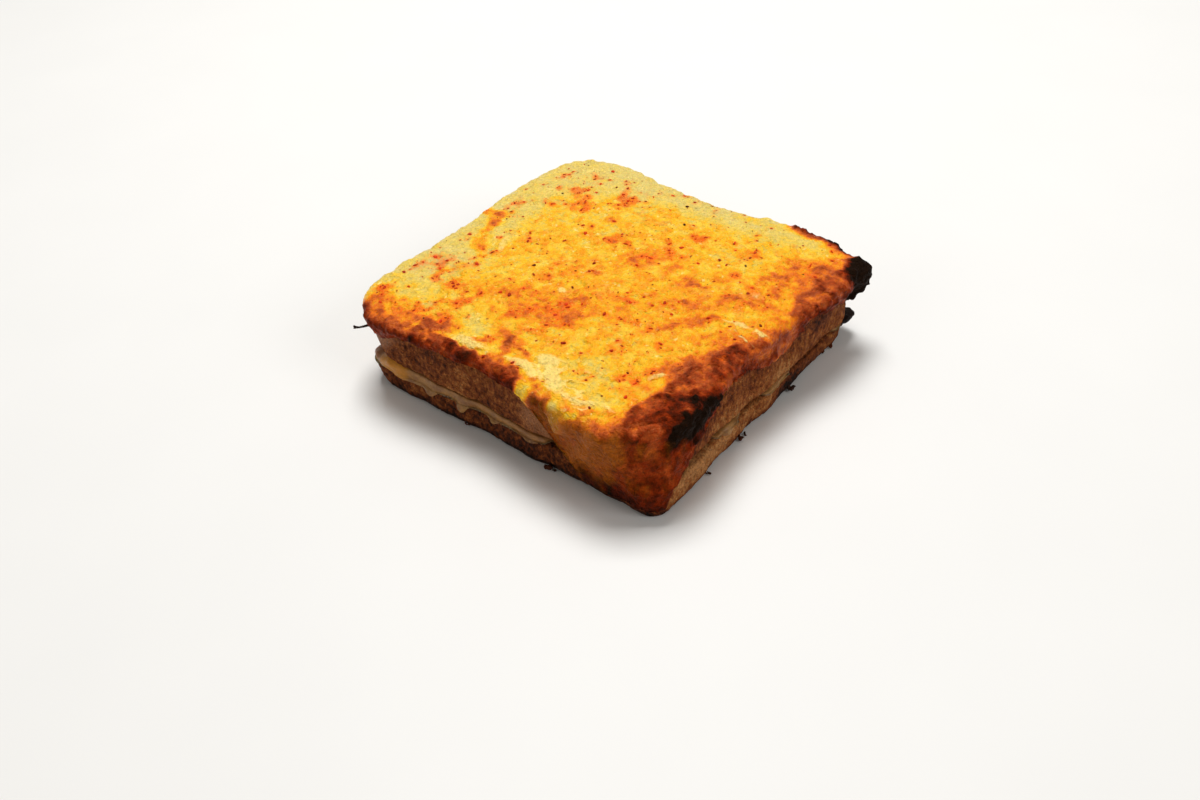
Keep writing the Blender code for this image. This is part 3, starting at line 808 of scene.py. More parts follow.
class Finish:
    """Material of one kind of piece, with short ways to add the nodes that its look is made of."""

    def __init__(self, name):
        self.material = bpy.data.materials.new(name)
        self.material.use_nodes = True
        self.tree = self.material.node_tree
        self.shader = self.tree.nodes["Principled BSDF"]

    def feed(self, socket, value):
        """Give a socket a value or another node's output."""
        if isinstance(value, bpy.types.NodeSocket):
            self.tree.links.new(value, socket)
        elif socket.type == "RGBA":
            socket.default_value = (*value, 1.0)
        else:
            socket.default_value = value

    def set(self, **values):
        """Set inputs of the shader, named with _ in place of each space."""
        for name, value in values.items():
            self.feed(self.shader.inputs[name.replace("_", " ")], value)

    def add(self, kind, output, inputs, **settings):
        """New node of a kind with its settings and inputs, and the output it is wanted for."""
        node = self.tree.nodes.new(kind)
        for name, value in settings.items():
            setattr(node, name, value)
        for name, value in inputs.items():
            self.feed(node.inputs[name], value)
        return node.outputs[output]

    def field(self, name):
        """Number kept on the piece's points under a name."""
        return self.add("ShaderNodeAttribute", "Fac", {}, attribute_name=name)

    def plus(self, first, second):
        """Two numbers added together."""
        return self.add("ShaderNodeMath", 0, {0: first, 1: second}, operation="ADD")

    def minus(self, first, second):
        """One number less another."""
        return self.add("ShaderNodeMath", 0, {0: first, 1: second}, operation="SUBTRACT")

    def times(self, first, second):
        """Two numbers multiplied together."""
        return self.add("ShaderNodeMath", 0, {0: first, 1: second}, operation="MULTIPLY")

    def centred(self, value, amount):
        """Noise turned into a change of up to an amount either way."""
        return self.times(self.minus(value, 0.5), 2.0 * amount)

    def grain(self, size, detail, stretch=(1.0, 1.0, 1.0), roughness=0.55):
        """Noise with features of a size in millimetres, from 0 to 1, drawn out along an axis by a stretch."""
        place = self.add("ShaderNodeTexCoord", "Object", {})
        scale = [size * MM * amount for amount in stretch]
        place = self.add("ShaderNodeVectorMath", 0, {0: place, 1: scale}, operation="DIVIDE")
        inputs = {"Vector": place, "Scale": 1.0, "Detail": detail, "Roughness": roughness}
        return self.add("ShaderNodeTexNoise", "Fac", inputs)

    def spread(self, value, low, high, start=0.0, end=1.0, way="SMOOTHSTEP"):
        """Number carried from one range to another, and kept inside it."""
        inputs = {"Value": value, "From Min": low, "From Max": high, "To Min": start, "To Max": end}
        return self.add("ShaderNodeMapRange", "Result", inputs, interpolation_type=way)

    def tinted(self, share, first, second, way="MIX"):
        """Blend of two colours."""
        inputs = {0: share, 6: first, 7: second}
        return self.add("ShaderNodeMix", 2, inputs, data_type="RGBA", blend_type=way, clamp_factor=True)

    def grey(self, value, low, high):
        """Grey that varies between two values with a noise, for shading a colour."""
        return self.spread(value, 0.3, 0.7, low, high, "LINEAR")

    def shaded(self, colour, value, low, high):
        """Colour made darker and lighter by a noise."""
        return self.tinted(1.0, colour, self.grey(value, low, high), "MULTIPLY")

    def colour_steps(self, share, look, steps):
        """Colour read from steps of (share, name of a colour of the look)."""
        node = self.tree.nodes.new("ShaderNodeValToRGB")
        while len(node.color_ramp.elements) < len(steps):
            node.color_ramp.elements.new(0.5)
        for element, (place, name) in zip(node.color_ramp.elements, steps):
            element.position = place
            element.color = (*getattr(look, name), 1.0)
        self.feed(node.inputs["Fac"], share)
        return node.outputs["Color"]

    def bumped(self, *layers):
        """Fine relief on the shader, from layers of (height, distance in millimetres)."""
        normal = {}
        for height, distance in layers:
            inputs = {"Strength": 1.0, "Distance": distance * MM, "Height": height}
            normal = {"Normal": self.add("ShaderNodeBump", "Normal", inputs | normal)}
        self.set(**normal)


def cheese_level(finish, bake, patchy, fine, broad):
    """Bake with an unrest that is weaker where the cheese is pale or dark, to read its colour by."""
    unrest = finish.plus(finish.centred(patchy, 0.36), finish.centred(fine, 0.16))
    unrest = finish.plus(unrest, finish.centred(broad, 0.12))
    calm = finish.spread(bake, 0.08, 0.28, start=0.45, end=1.0)
    calm = finish.times(calm, finish.spread(bake, 0.45, 0.7, start=1.0, end=0.75))
    liveliness = finish.times(calm, finish.field("lively"))
    return finish.plus(bake, finish.times(unrest, liveliness))


def with_melt_colours(finish, look, colour, bake, melted):
    """Cheese colour with brighter patches and orange smudges where it has melted without browning."""
    lemon = finish.times(finish.spread(finish.grain(size=5.0, detail=4.0), 0.50, 0.62), melted)
    lemon = finish.times(lemon, finish.spread(bake, 0.1, 0.3, start=0.3, end=1.0))
    colour = finish.tinted(finish.times(lemon, 0.35), colour, look.lemon)
    smudge = finish.spread(finish.grain(size=4.2, detail=4.0), 0.55, 0.70)
    smudge = finish.times(smudge, finish.spread(bake, 0.1, 0.35))
    return finish.tinted(finish.times(smudge, finish.times(melted, 0.55)), colour, look.smudge)


def with_cream(finish, look, colour, patchy, fine, melted):
    """Cheese colour with the creamy places and small crumbs of curd."""
    curd = finish.plus(finish.field("cream"), finish.centred(patchy, 0.55))
    curd = finish.spread(finish.plus(curd, finish.centred(fine, 0.3)), 0.35, 0.75)
    crumbs = finish.times(finish.spread(finish.grain(size=1.9, detail=2.0), 0.64, 0.74), melted)
    curd = finish.add("ShaderNodeMath", 0, {0: curd, 1: crumbs}, operation="MAXIMUM")
    return finish.tinted(finish.times(curd, 0.8), colour, look.cream)


def cheese_finish(look):
    """Baked cheese: its colour follows the bake, with creamy places and oil stained by paprika."""
    finish = Finish("baked_cheese")
    broad = finish.grain(size=9.0, detail=2.0)
    patchy = finish.grain(size=3.4, detail=4.0)
    fine = finish.grain(size=1.1, detail=3.0)
    bake = finish.field("bake")
    level = cheese_level(finish, bake, patchy, fine, broad)
    colour = finish.colour_steps(level, look, CHEESE_STEPS)
    melted = finish.spread(bake, 0.5, 0.36)
    colour = with_melt_colours(finish, look, colour, bake, melted)
    glaze = finish.spread(finish.plus(finish.field("glaze"), finish.centred(fine, 0.3)), 0.1, 0.9)
    colour = finish.tinted(finish.times(glaze, 0.75), colour, look.glaze)
    colour = with_cream(finish, look, colour, patchy, fine, melted)
    stain = finish.plus(finish.field("stain"), finish.centred(fine, 0.5))
    colour = finish.tinted(finish.times(finish.spread(stain, 0.2, 0.9), 0.8), colour, look.stain)
    colour = finish.shaded(colour, fine, 0.84, 1.12)
    pores = finish.grain(size=1.5, detail=4.0, stretch=(1.0, 1.0, 0.7), roughness=0.66)
    pores = finish.grey(pores, 0.38, 1.5)
    pitted = finish.spread(bake, 0.60, 0.80, start=0.12, end=0.85)
    colour = finish.tinted(pitted, colour, pores, "MULTIPLY")
    dullness = finish.spread(bake, 0.5, 0.95, start=0.32, end=0.56)
    dullness = finish.plus(dullness, finish.centred(finish.grain(size=2.2, detail=3.0), 0.16))
    finish.set(Base_Color=colour, Roughness=dullness)
    finish.set(Specular_IOR_Level=finish.spread(bake, 0.55, 0.92, start=0.32, end=0.05))
    finish.set(Specular_Tint=(1.0, 0.70, 0.25))
    finish.set(Subsurface_Weight=0.12, Subsurface_Radius=(1.0, 0.45, 0.12), Subsurface_Scale=0.0022)
    finish.bumped((patchy, 1.5), (fine, 0.7), (finish.grain(size=0.45, detail=2.0), 0.2))
    return finish.material


def bread_finish(name, look):
    """Toasted bread: torn crumb and pores, darker where it is toasted, with a film of cheese in places."""
    finish = Finish(name)
    pores = finish.grain(size=1.5, detail=4.0, stretch=(1.0, 1.0, 1.3), roughness=0.62)
    fine = finish.grain(size=0.6, detail=2.0)
    patches = finish.grain(size=6.5, detail=3.0)
    toast = finish.plus(finish.field("toast"), finish.centred(patches, 0.30))
    toast = finish.plus(toast, finish.centred(pores, 0.75))
    colour = finish.colour_steps(toast, look, BREAD_STEPS)
    film = finish.plus(finish.field("film"), finish.centred(patches, 0.3))
    film = finish.spread(film, 0.15, 0.8)
    colour = finish.tinted(finish.times(film, 0.75), colour, look.film)
    colour = finish.shaded(colour, fine, 0.6, 1.1)
    dullness = finish.minus(0.85, finish.times(film, 0.45))
    finish.set(Base_Color=colour, Roughness=dullness, Specular_IOR_Level=0.12)
    finish.bumped((pores, 2.2), (fine, 0.7))
    return finish.material


def filling_finish(look):
    """Creamy filling: soft and shiny, glassy where the cheese has melted clear, and black where burnt."""
    finish = Finish("creamy_filling")
    patches = finish.grain(size=3.0, detail=3.0)
    fine = finish.grain(size=0.9, detail=2.0)
    # The two creams carry painted shade of the filling's shaded sides.
    colour = finish.tinted(finish.spread(patches, 0.35, 0.65), look.dark_cream_painted_shade, look.light_cream_painted_shade)
    dry = finish.plus(finish.field("dry"), finish.centred(patches, 0.5))
    colour = finish.tinted(finish.spread(dry, 0.2, 0.9), colour, look.dried)
    colour = finish.tinted(finish.spread(finish.field("glassy"), 0.2, 0.7), colour, look.glassy)
    colour = finish.tinted(finish.spread(finish.field("scorch"), 0.25, 0.6), colour, look.scorched)
    colour = finish.shaded(colour, fine, 0.88, 1.08)
    finish.set(Base_Color=colour, Roughness=finish.spread(patches, 0.2, 0.8, start=0.28, end=0.5))
    finish.set(Subsurface_Weight=0.15, Subsurface_Radius=(1.0, 0.6, 0.3), Subsurface_Scale=0.0018)
    finish.set(Specular_IOR_Level=finish.spread(finish.field("scorch"), 0.2, 0.6, start=0.3, end=0.05))
    finish.bumped((patches, 0.4), (fine, 0.12))
    return finish.material


def speck_finish(name, first, second, roughness):
    """Small dry pieces whose colour differs from one to the next."""
    finish = Finish(name)
    fine = finish.grain(size=0.35, detail=2.0)
    tone = finish.plus(finish.field("tone"), finish.centred(fine, 0.3))
    finish.set(Base_Color=finish.tinted(tone, first, second), Roughness=roughness, Specular_IOR_Level=0.1)
    finish.bumped((fine, 0.12))
    return finish.material


# ----------------------------------------------------------------------------
# Cheese


def cheese_lips(widest, tabs, cover):
    """Height of the lower edge of the cheese at each point of its outline."""
    x, y = RIM[:2]
    places = ring(RIM, 0.0, widest)
    ragged = LIP_RAGGEDNESS * layered(places, size=4.0, seed=11)
    ragged = ragged + LIP_WAVER * noise(places, size=9.0, seed=15)
    hanging = sum(reach * hump(x, y, (lip_x, lip_y), width) for lip_x, lip_y, reach, width in HANGING_LIPS)
    drop = RIM_LIP_DROP + RIGHT_LIP_DROP * ramp(*RIGHT_LIP_X, x) - NEAR_LIP_RISE * near_thinning(x, y)
    rim_lips = np.minimum(widest - drop + ragged, upper_top(*UPPER_TOP[:2]) - LIP_OVERLAP) - hanging
    return blend(rim_lips - TAB_LIP_DROP * tabs, SKIN_FOOT + 0.5 * ragged, cover)


def cheese_thickness(widest, cover):
    """Thickness of the cheese that hangs down the sides, at each point of its outline."""
    skin_thickness = blend(FILM_THICKNESS, SKIN_THICKNESS, ramp(*FILM_REACH, RIM[0] + RIM[1]))
    uneven = 1.0 + 0.25 * noise(ring(RIM, 0.0, widest), size=7.0, seed=17)
    return blend(RIM_THICKNESS, skin_thickness, cover) * uneven


def hanging_ring(share, lips, widest, thickness, tabs):
    """Ring on the outside of the hanging cheese, at a share of the way from its lip to its widest line."""
    heights = blend(lips, widest, share)
    rounding = 1.0 - (1.0 - min(share / LIP_ROUNDING, 1.0)) ** 2
    thinning = blend(0.5, 1.0, ramp(0.0, 16.0, heights))
    skin = moved_out(body_outline(heights), LAYER_GAP + thickness * thinning * blend(0.15, 1.0, rounding))
    rim = moved_out(RIM, tabs * min(2.5 * share, 1.0))
    by_height = ramp(np.maximum(lips, widest - 5.0), widest, heights)
    nearness = np.maximum(by_height, ramp(0.5, 2.0, tabs) * rounding)
    return ring(blend(skin, rim, nearness), 0.0, heights)


def cheese_rings():
    """Rings of the cheese from the middle of its underside, out and down within its skin, and up outside."""
    bread_tops = upper_top(*UPPER_TOP[:2])
    roll = rim_roll(*RIM[:2])
    widest = rim_top(*RIM[:2]) - roll
    cover = skin_cover(*RIM[:2])
    tabs = CHAR_TAB_REACH * hump(*RIM[:2], CHAR_TAB_PLACE, CHAR_TAB_WIDTH)
    lips = cheese_lips(widest, tabs, cover)
    thickness = cheese_thickness(widest, cover)
    rings = [shrunk(UPPER_TOP, share, lambda x, y: upper_top(x, y) + LAYER_GAP) for share in (0.3, 0.7)]
    rings.append(ring(UPPER_TOP, -2.4, bread_tops + LAYER_GAP))
    rings.append(ring(UPPER_TOP, -0.9, bread_tops - 0.9 + LAYER_GAP))
    for share in np.linspace(1.0, 0.0, INNER_RINGS):
        heights = blend(lips, bread_tops - 1.0, share)
        rings.append(ring(body_outline(heights), LAYER_GAP, heights))
    for share in np.linspace(0.0, 1.0, OUTER_RINGS) ** 1.1:
        rings.append(hanging_ring(share, lips, widest, thickness, tabs))
    for turn in np.linspace(0.0, math.pi / 2.0, ROLL_RINGS + 1)[1:]:
        inset = RIM_ROLL * (1.0 - math.cos(turn)) * 1.1
        rings.append(ring(RIM, tabs * math.cos(turn) - inset, widest + roll * math.sin(turn)))
    return rings


def cheese_outside():
    """1 for each ring point that shows and 0 for the underside and the inner side."""
    hidden = 4 + INNER_RINGS
    shown = OUTER_RINGS + ROLL_RINGS
    return np.concatenate([np.zeros(hidden * 4 * SIDE_POINTS), np.ones(shown * 4 * SIDE_POINTS)])


def rim_depth(points):
    """How far each point lies below the top of the rim."""
    return rim_top(points[:, 0], points[:, 1]) - points[:, 2]


def skin_share(points):
    """1 on the skin over the front corner, and 0 on the top and along the other edges."""
    start = blend(0.4, 3.4, ramp(-8.0, 10.0, points[:, 0] + points[:, 1]))
    start = start + 1.3 * layered(points, size=5.0, seed=36)
    side = ramp(start - 0.6, start + 1.8, rim_depth(points))
    return skin_cover(points[:, 0], points[:, 1]) * side


def top_bake(points, x, y):
    """Bake of the top: yellow, pale towards the left and the back, with its browned spots."""
    left = (1.0 - ramp(*PALE_LEFT_X, x)) * ramp(*PALE_LEFT_Y, y) + PALE_EDGE * (1.0 - ramp(*PALE_EDGE_X, x))
    back = ramp(*PALE_BACK_Y, y) * (1.0 - ramp(*PALE_BACK_X, x))
    corner = ramp(*PALE_CORNER, y - x)
    pale = np.clip(np.maximum(np.maximum(left, back), corner), 0.0, 1.0)
    bake = blend(YELLOW_BAKE, PALE_BAKE, pale) + oval_spots(x, y, BAKE_SPOTS)
    return bake + 0.05 * noise(points, size=14.0, seed=31)


def with_near_rim(bake, points, x, y, ragged):
    """Bake with the browned rim of the near edge over it, and a fringe before that."""
    start = NEAR_RIM_Y + ragged - NEAR_RIM_SETBACK * ramp(*NEAR_SETBACK_X, x)
    darkening = NEAR_RIM_DARKENING * ramp(*NEAR_DARK_DEPTH, rim_depth(points))
    darkening = darkening * (1.0 - ramp(*NEAR_DARK_END_X, x))
    rim = np.minimum(along(NEAR_RIM_BAKE, x) + darkening, DARKEST_RIM)
    rim = rim + 0.10 * layered(points, size=4.0, seed=38)
    share = ramp(*NEAR_RIM_EDGE, y - start) * (1.0 - ramp(*NEAR_RIM_END_X, x))
    fringe = RIM_FRINGE * ramp(*NEAR_FRINGE_REACH, y - start + ragged) * (1.0 - ramp(*NEAR_FRINGE_END_X, x))
    return blend(bake, rim, share) + fringe * (1.0 - share)


def with_right_and_far_rims(bake, points, x, y, ragged):
    """Bake with the browned rims of the right edge and of the right end of the far edge over it."""
    depth = rim_depth(points)
    start = along(RIGHT_RIM_START, y)
    share = ramp(*RIGHT_RIM_EDGE, x + ragged - start + RIGHT_RIM_WIDENING * ramp(*RIGHT_WIDE_DEPTH, depth))
    rim = along(RIGHT_RIM_BAKE, y) + along(RIGHT_RIM_DARKENING, y) * ramp(*RIGHT_DARK_DEPTH, depth)
    bake = blend(bake, rim + 0.14 * layered(points, size=4.4, seed=37), share)
    bake += RIM_FRINGE * ramp(*RIGHT_FRINGE_REACH, x + 1.4 * ragged - start) * (1.0 - share)
    far_share = ramp(*FAR_RIM_Y, y + ragged - FAR_RIM_SLANT * (60.0 - x)) * ramp(*FAR_RIM_X, x)
    return blend(bake, FAR_RIM_BAKE, far_share * (1.0 - share))


def with_skin(bake, points, x, y):
    """Bake with that of the skin over the front corner, pale on its drips and dark along its foot."""
    skin = skin_share(points)
    bake = blend(bake, along(SKIN_BAKE, x + y) - DRIP_PALING * skin_drips(points), skin)
    foot = (1.0 - ramp(*SKIN_FOOT_HEIGHT, points[:, 2])) * blend(1.0, 0.45, ramp(*SKIN_FOOT_FADE, x + y))
    return bake + SKIN_FOOT_BAKE * skin * foot


def with_golden_edges(bake, points, x, y):
    """Bake with the golden cheese that hangs over the left edge and the back edge."""
    golden = GOLDEN_BAKE + 0.16 * layered(points, size=11.0, seed=35)
    back = ramp(*GOLDEN_BACK_Y, y) * (1.0 - ramp(*GOLDEN_BACK_X, x))
    edges = np.maximum(1.0 - ramp(*GOLDEN_LEFT_X, x), back)
    return blend(bake, golden, GOLDEN_SHARE * edges * ramp(*GOLDEN_DEPTH, rim_depth(points)))


def cheese_bake(points):
    """How far the cheese has browned at each point, from 0 (pale) to 1 (black)."""
    wandering = drifted(points, size=9.0, amount=1.5, seed=21)
    wandering = drifted(wandering, size=3.6, amount=1.4, seed=25)
    wandering = drifted(wandering, size=1.6, amount=0.7, seed=28)
    x, y, _ = wandering.T
    ragged = EDGE_RAGGEDNESS * layered(points, size=5.0, seed=32, layers=4)
    bake = top_bake(points, x, y)
    bake = with_near_rim(bake, points, x, y, ragged)
    bake = with_right_and_far_rims(bake, points, x, y, ragged)
    bake = with_skin(bake, points, x, y)
    bake = with_golden_edges(bake, points, x, y)
    return bake + round_spots(wandering, SIDE_BAKE_SPOTS)


def cheese_cream(points):
    """Where the cheese is creamy white: blobs, wisps near the front and streaks near the right edge."""
    wandering = drifted(drifted(points, size=7.0, amount=1.4, seed=41), size=2.2, amount=0.6, seed=45)
    x, y, _ = wandering.T
    wisps = ramp(0.62, 0.95, 1.0 - np.abs(noise(wandering * (1.0, 1.6, 1.0), size=5.0, seed=49)) * 2.0)
    wispy = sum(amount * hump(x, y, place, width) for place, width, amount in WISP_PLACES)
    return oval_spots(x, y, CREAM_SPOTS) + 0.55 * wisps * np.clip(wispy, 0.0, 1.0)


def cheese_glaze(points):
    """How golden the glaze over the skin is at each point, from 0 to 1."""
    wandering = drifted(points, size=6.0, amount=1.6, seed=55)
    across = along(SKIN_GLAZE, wandering[:, 0] + wandering[:, 1])
    streaks = 0.35 * noise(wandering * (1.0, 1.0, 0.3), size=2.4, seed=58)
    return across + streaks - 0.35 * ramp(12.0, 5.0, points[:, 2]) + 0.5 * skin_drips(points)


def skin_drips(points):
    """Thickness of the drips that run down the skin over the front corner."""
    place = points[:, 0] + points[:, 1] + 0.8 * noise(points, size=6.0, seed=51)
    total = np.zeros(len(points))
    for middle, slant, tip, width, thickness in SKIN_DRIPS:
        across = np.exp(-(((place - middle - slant * (points[:, 2] - tip)) / width) ** 2))
        total = np.maximum(total, thickness * across * ramp(tip - 1.4, tip + 1.6, points[:, 2]))
    return total * np.where(points[:, 0] - points[:, 1] > SKIN_REACH, 1.0, 0.0)


def cheese_relief(points, bake, cream, relief):
    """How far the baked surface stands out at each point, in millimetres."""
    depth = rim_depth(points)
    top = 1.0 - ramp(1.0, 5.0, depth)
    browned = ramp(0.45, 0.75, bake)
    swell = 0.55 * noise(points, size=19.0, seed=61) + 0.30 * noise(points, size=9.0, seed=62)
    lumps = 0.80 * np.abs(layered(drifted(points, size=6.0, amount=1.5, seed=63), size=6.5, seed=64)) - 0.26
    creases = 0.42 * np.abs(noise(drifted(points, size=3.0, amount=0.8, seed=66), size=2.8, seed=67)) - 0.10
    crust = 1.4 * blisters(points, size=3.8, seed=71) + 0.8 * blisters(points, size=2.0, seed=75)
    height = blend(0.45, 1.0, top) * (swell + lumps + creases)
    height += browned * (crust * blend(0.7, 1.0, top) - 0.5 * (1.0 - top))
    height += ramp(0.88, 1.05, bake) * 0.8 * layered(points, size=2.6, seed=77)
    height += 0.55 * np.clip(cream, 0.0, 1.0) * top
    height += 0.26 * layered(points, size=1.5, seed=79, layers=2)
    height += (1.0 - top) * skin_drips(points)
    return height * relief


def stain_near(points, flakes, reach):
    """How strongly oil reddened by the paprika stains each point, from the flakes' places and sizes."""
    total = np.zeros(len(points))
    shown = points[:, 2] > 18.0
    for (x, y), size in flakes:
        near = shown & (np.abs(points[:, 0] - x) < 4.0 * reach) & (np.abs(points[:, 1] - y) < 4.0 * reach)
        distance = (points[near, 0] - x) ** 2 + (points[near, 1] - y) ** 2
        total[near] += size * np.exp(-distance / reach**2)
    return total


def scattered(chance, count):
    """Random places (x, y) over the top of the cheese."""
    across = chance.uniform(*FLAKE_REACH_X, count)
    return list(zip(across, chance.uniform(*FLAKE_REACH_Y, count)))


def sized(chance, places, usual, limits):
    """Places with a random size for each, given the usual size as (log mean, log spread) and its limits."""
    sizes = np.clip(chance.lognormal(*usual, len(places)), *limits)
    return [((float(x), float(y)), float(size)) for (x, y), size in zip(places, sizes)]


def paprika_places():
    """Places (x, y) and sizes of the paprika flakes, the same on each run."""
    chance = np.random.default_rng(PAPRIKA_SEED)
    places = []
    for x, y, reach, count in PAPRIKA_CLUSTERS:
        steps = chance.normal(size=(count, 2))
        places += [(x + reach * step[0] * 0.6, y + reach * step[1] * 0.6) for step in steps]
    places += scattered(chance, PAPRIKA_SCATTERED)
    return sized(chance, places, PAPRIKA_SIZES, PAPRIKA_LIMITS)


def set_cheese_fields(data, points, bake, cream, height):
    """Keep what the finish of the cheese reads at each point."""
    depth = rim_depth(points)
    browned = ramp(0.55, 0.75, bake)
    flakes = paprika_places()
    close = stain_near(points, flakes, CLOSE_STAIN_REACH)
    wide = stain_near(points, flakes, WIDE_STAIN_REACH)
    halo = np.clip(wide, 0.0, 1.4) * np.clip(0.7 + noise(points, size=3.2, seed=84), 0.0, 1.6)
    set_field(data, "bake", bake + 0.07 * height + HALO_BAKE * halo * (1.0 - ramp(0.4, 0.6, bake)))
    shown = (1.0 - 0.7 * browned) * (1.0 - ramp(1.2, 2.6, depth))
    set_field(data, "cream", cream * np.where(points[:, 0] > 40.0, shown, 1.0 - browned))
    uneven = np.clip(1.0 + 1.2 * noise(points, size=2.6, seed=83), 0.0, 2.0)
    set_field(data, "stain", CLOSE_STAIN * close + WIDE_STAIN * wide * uneven)
    skin = skin_share(points)
    near_lip = ramp(0.6, 2.0, depth) * ramp(8.0, -2.0, points[:, 1] + 50.0)
    set_field(data, "lively", 1.0 - 0.25 * skin - 0.35 * near_lip * (1.0 - skin))
    set_field(data, "glaze", skin * cheese_glaze(points))


def build_cheese(settings):
    """Browned cheese with its rolled rim, its skin over the front corner and its charred tab."""
    shell = Shell(cheese_rings())
    shell.close_with_grid(True, dome)
    shell.close_with_fan(False)
    outside = np.concatenate([cheese_outside(), np.ones((SIDE_POINTS - 1) ** 2), np.zeros(1)])
    data = shell.mesh("browned_cheese")
    points = mesh_points(data)
    bake = cheese_bake(points)
    cream = cheese_cream(points)
    height = cheese_relief(points, bake, cream, settings.relief)
    set_mesh_points(data, points + mesh_normals(data) * (height * outside)[:, None])
    set_cheese_fields(data, points, bake, cream, height)
    return data


# ----------------------------------------------------------------------------
# Bread and filling


def slice_rings(foot, top, foot_height, top_height, profile, steps):
    """Rings up the side of a slice.

    The profile lists (share of the height, inset).
    """
    rings = []
    for share in np.linspace(0.0, 1.0, steps):
        rows = blend(foot, top, share)
        inset = along(profile, share)
        edge = moved_out(rows, -inset)
        heights = blend(foot_height(edge[0], edge[1]), top_height(edge[0], edge[1]), share)
        rings.append(ring(rows, -inset, heights + np.zeros(rows.shape[1])))
    return rings


def crumb_relief(points):
    """How far toasted crumb stands out at each point: torn ridges, pores and gentle swells."""
    wandering = drifted(points, size=2.4, amount=0.6, seed=81)
    torn = 0.34 * np.abs(layered(wandering * (1.0, 1.0, 1.25), size=2.6, seed=82)) - 0.12
    distance, owner = nearest_cell(wandering, size=2.3, seed=86)
    pores = -0.55 * (1.0 - ramp(0.1, 0.5, distance)) * ramp(0.45, 0.75, owner)
    return 0.40 * noise(points, size=11.0, seed=90) + torn + pores + 0.10 * noise(points, size=1.2, seed=91)


def slice_toast(points, base, spots):
    """How far the bread is toasted at each point, from 0 to 1, with painted shade in some spots."""
    wandering = drifted(points, size=5.0, amount=1.6, seed=96)
    return base + 0.13 * noise(points, size=12.0, seed=95) + round_spots(wandering, spots)


def build_lower_slice(settings):
    """Lower slice, darkest along the foot."""
    rings = slice_rings(FOOT, LOWER_TOP, ground, lower_top, LOWER_PROFILE, LOWER_STEPS)
    rings += [shrunk(LOWER_TOP, share, lower_top) for share in (0.8, 0.3)]
    shell = Shell(rings)
    shell.close_with_grid(False, ground)
    shell.close_with_fan(True)
    data = shell.mesh("lower_slice")
    points = mesh_points(data)
    under = 1.0 - ramp(0.0, 1.2, points[:, 2])
    hidden = np.zeros(len(points), bool)
    hidden[LOWER_STEPS * shell.count : (LOWER_STEPS + 2) * shell.count] = True
    hidden[-1] = True
    height = settings.relief * crumb_relief(points) * np.where(hidden, 0.0, 1.0)
    moved = points + mesh_normals(data) * (height * (1.0 - under))[:, None]
    dimples = under * np.where(hidden, 0.0, np.maximum(0.0, -0.8 * crumb_relief(points)))
    moved[:, 2] = np.maximum(moved[:, 2], 0.0) + settings.relief * dimples
    set_mesh_points(data, moved)
    # The near face comes out darker: partly toast, partly painted shade.
    toast = slice_toast(points, 0.50, LOWER_TOAST_AND_SHADE_SPOTS)
    toast += 0.38 * (1.0 - ramp(0.6, 3.6, points[:, 2] + 0.8 * noise(points, size=4.0, seed=97)))
    toast = np.where(points[:, 2] < 0.2, 0.66 + 0.18 * layered(points, size=14.0, seed=98), toast)
    set_field(data, "toast", toast)
    set_field(data, "film", np.zeros(len(points)))
    return data


def build_upper_slice(settings):
    """Upper slice, whose side shows between the filling and the cheese."""
    rings = [shrunk(UPPER_FOOT, share, upper_foot) for share in (0.3, 0.8)]
    rings += slice_rings(UPPER_FOOT, UPPER_TOP, upper_foot, upper_top, UPPER_PROFILE, UPPER_STEPS)
    rings += [shrunk(UPPER_TOP, share, upper_top) for share in (0.8, 0.3)]
    shell = Shell(rings)
    shell.close_with_fan(False)
    shell.close_with_fan(True)
    data = shell.mesh("upper_slice")
    points = mesh_points(data)
    film = round_spots(drifted(points, size=4.0, amount=1.2, seed=101), UPPER_FILM_SPOTS)
    shown = np.zeros(len(points))
    shown[2 * shell.count : (2 + UPPER_STEPS) * shell.count] = 1.0
    height = crumb_relief(points) * (1.0 - 0.5 * np.clip(film, 0.0, 1.0)) + 0.3 * film
    set_mesh_points(data, points + mesh_normals(data) * (settings.relief * height * shown)[:, None])
    set_field(data, "toast", slice_toast(points, 0.46, UPPER_TOAST_SPOTS))
    set_field(data, "film", film)
    return data


def filling_swell(x, y):
    """How strongly the filling presses out between the slices at a place."""
    end = np.where(y < 0.0, FILLING_NEAR_END, FILLING_FAR_END)
    ledge = hump(x, y, FILLING_LEDGE_PLACE, FILLING_LEDGE_WIDTH)
    band = 0.6 * (1.0 - ramp(end, end + 8.0, x)) * (1.0 - ledge)
    drips = sum(depth * hump(x, y, (drip_x, drip_y), width) for drip_x, drip_y, depth, width in FILLING_DRIPS)
    nub = 2.0 * hump(x, y, CHAR_NUB_PLACE, 1.6 * CHAR_NUB_WIDTH)
    return band + drips + nub


def bead_ring(turn, tip, roof, inner, outer):
    """Ring over the bead of the filling, at a turn that goes from -0.5 on its underside to 0.5 on its top."""
    middle = blend(tip, roof, 0.5)
    upward = ramp(0.0, 0.5, turn)
    reach = middle - tip if turn < 0.0 else roof - 0.35 - middle
    heights = middle + math.sin(math.pi * turn) * reach
    tuck = FILLING_TUCK * ramp(-1.8, 0.2, heights - lower_top(*LOWER_TOP[:2]))
    bulge = (outer - inner) * math.cos(math.pi * turn) ** 0.7
    return ring(blend(LOWER_TOP, UPPER_FOOT, upward), inner - 0.6 * upward + bulge + 0.05 - tuck, heights)


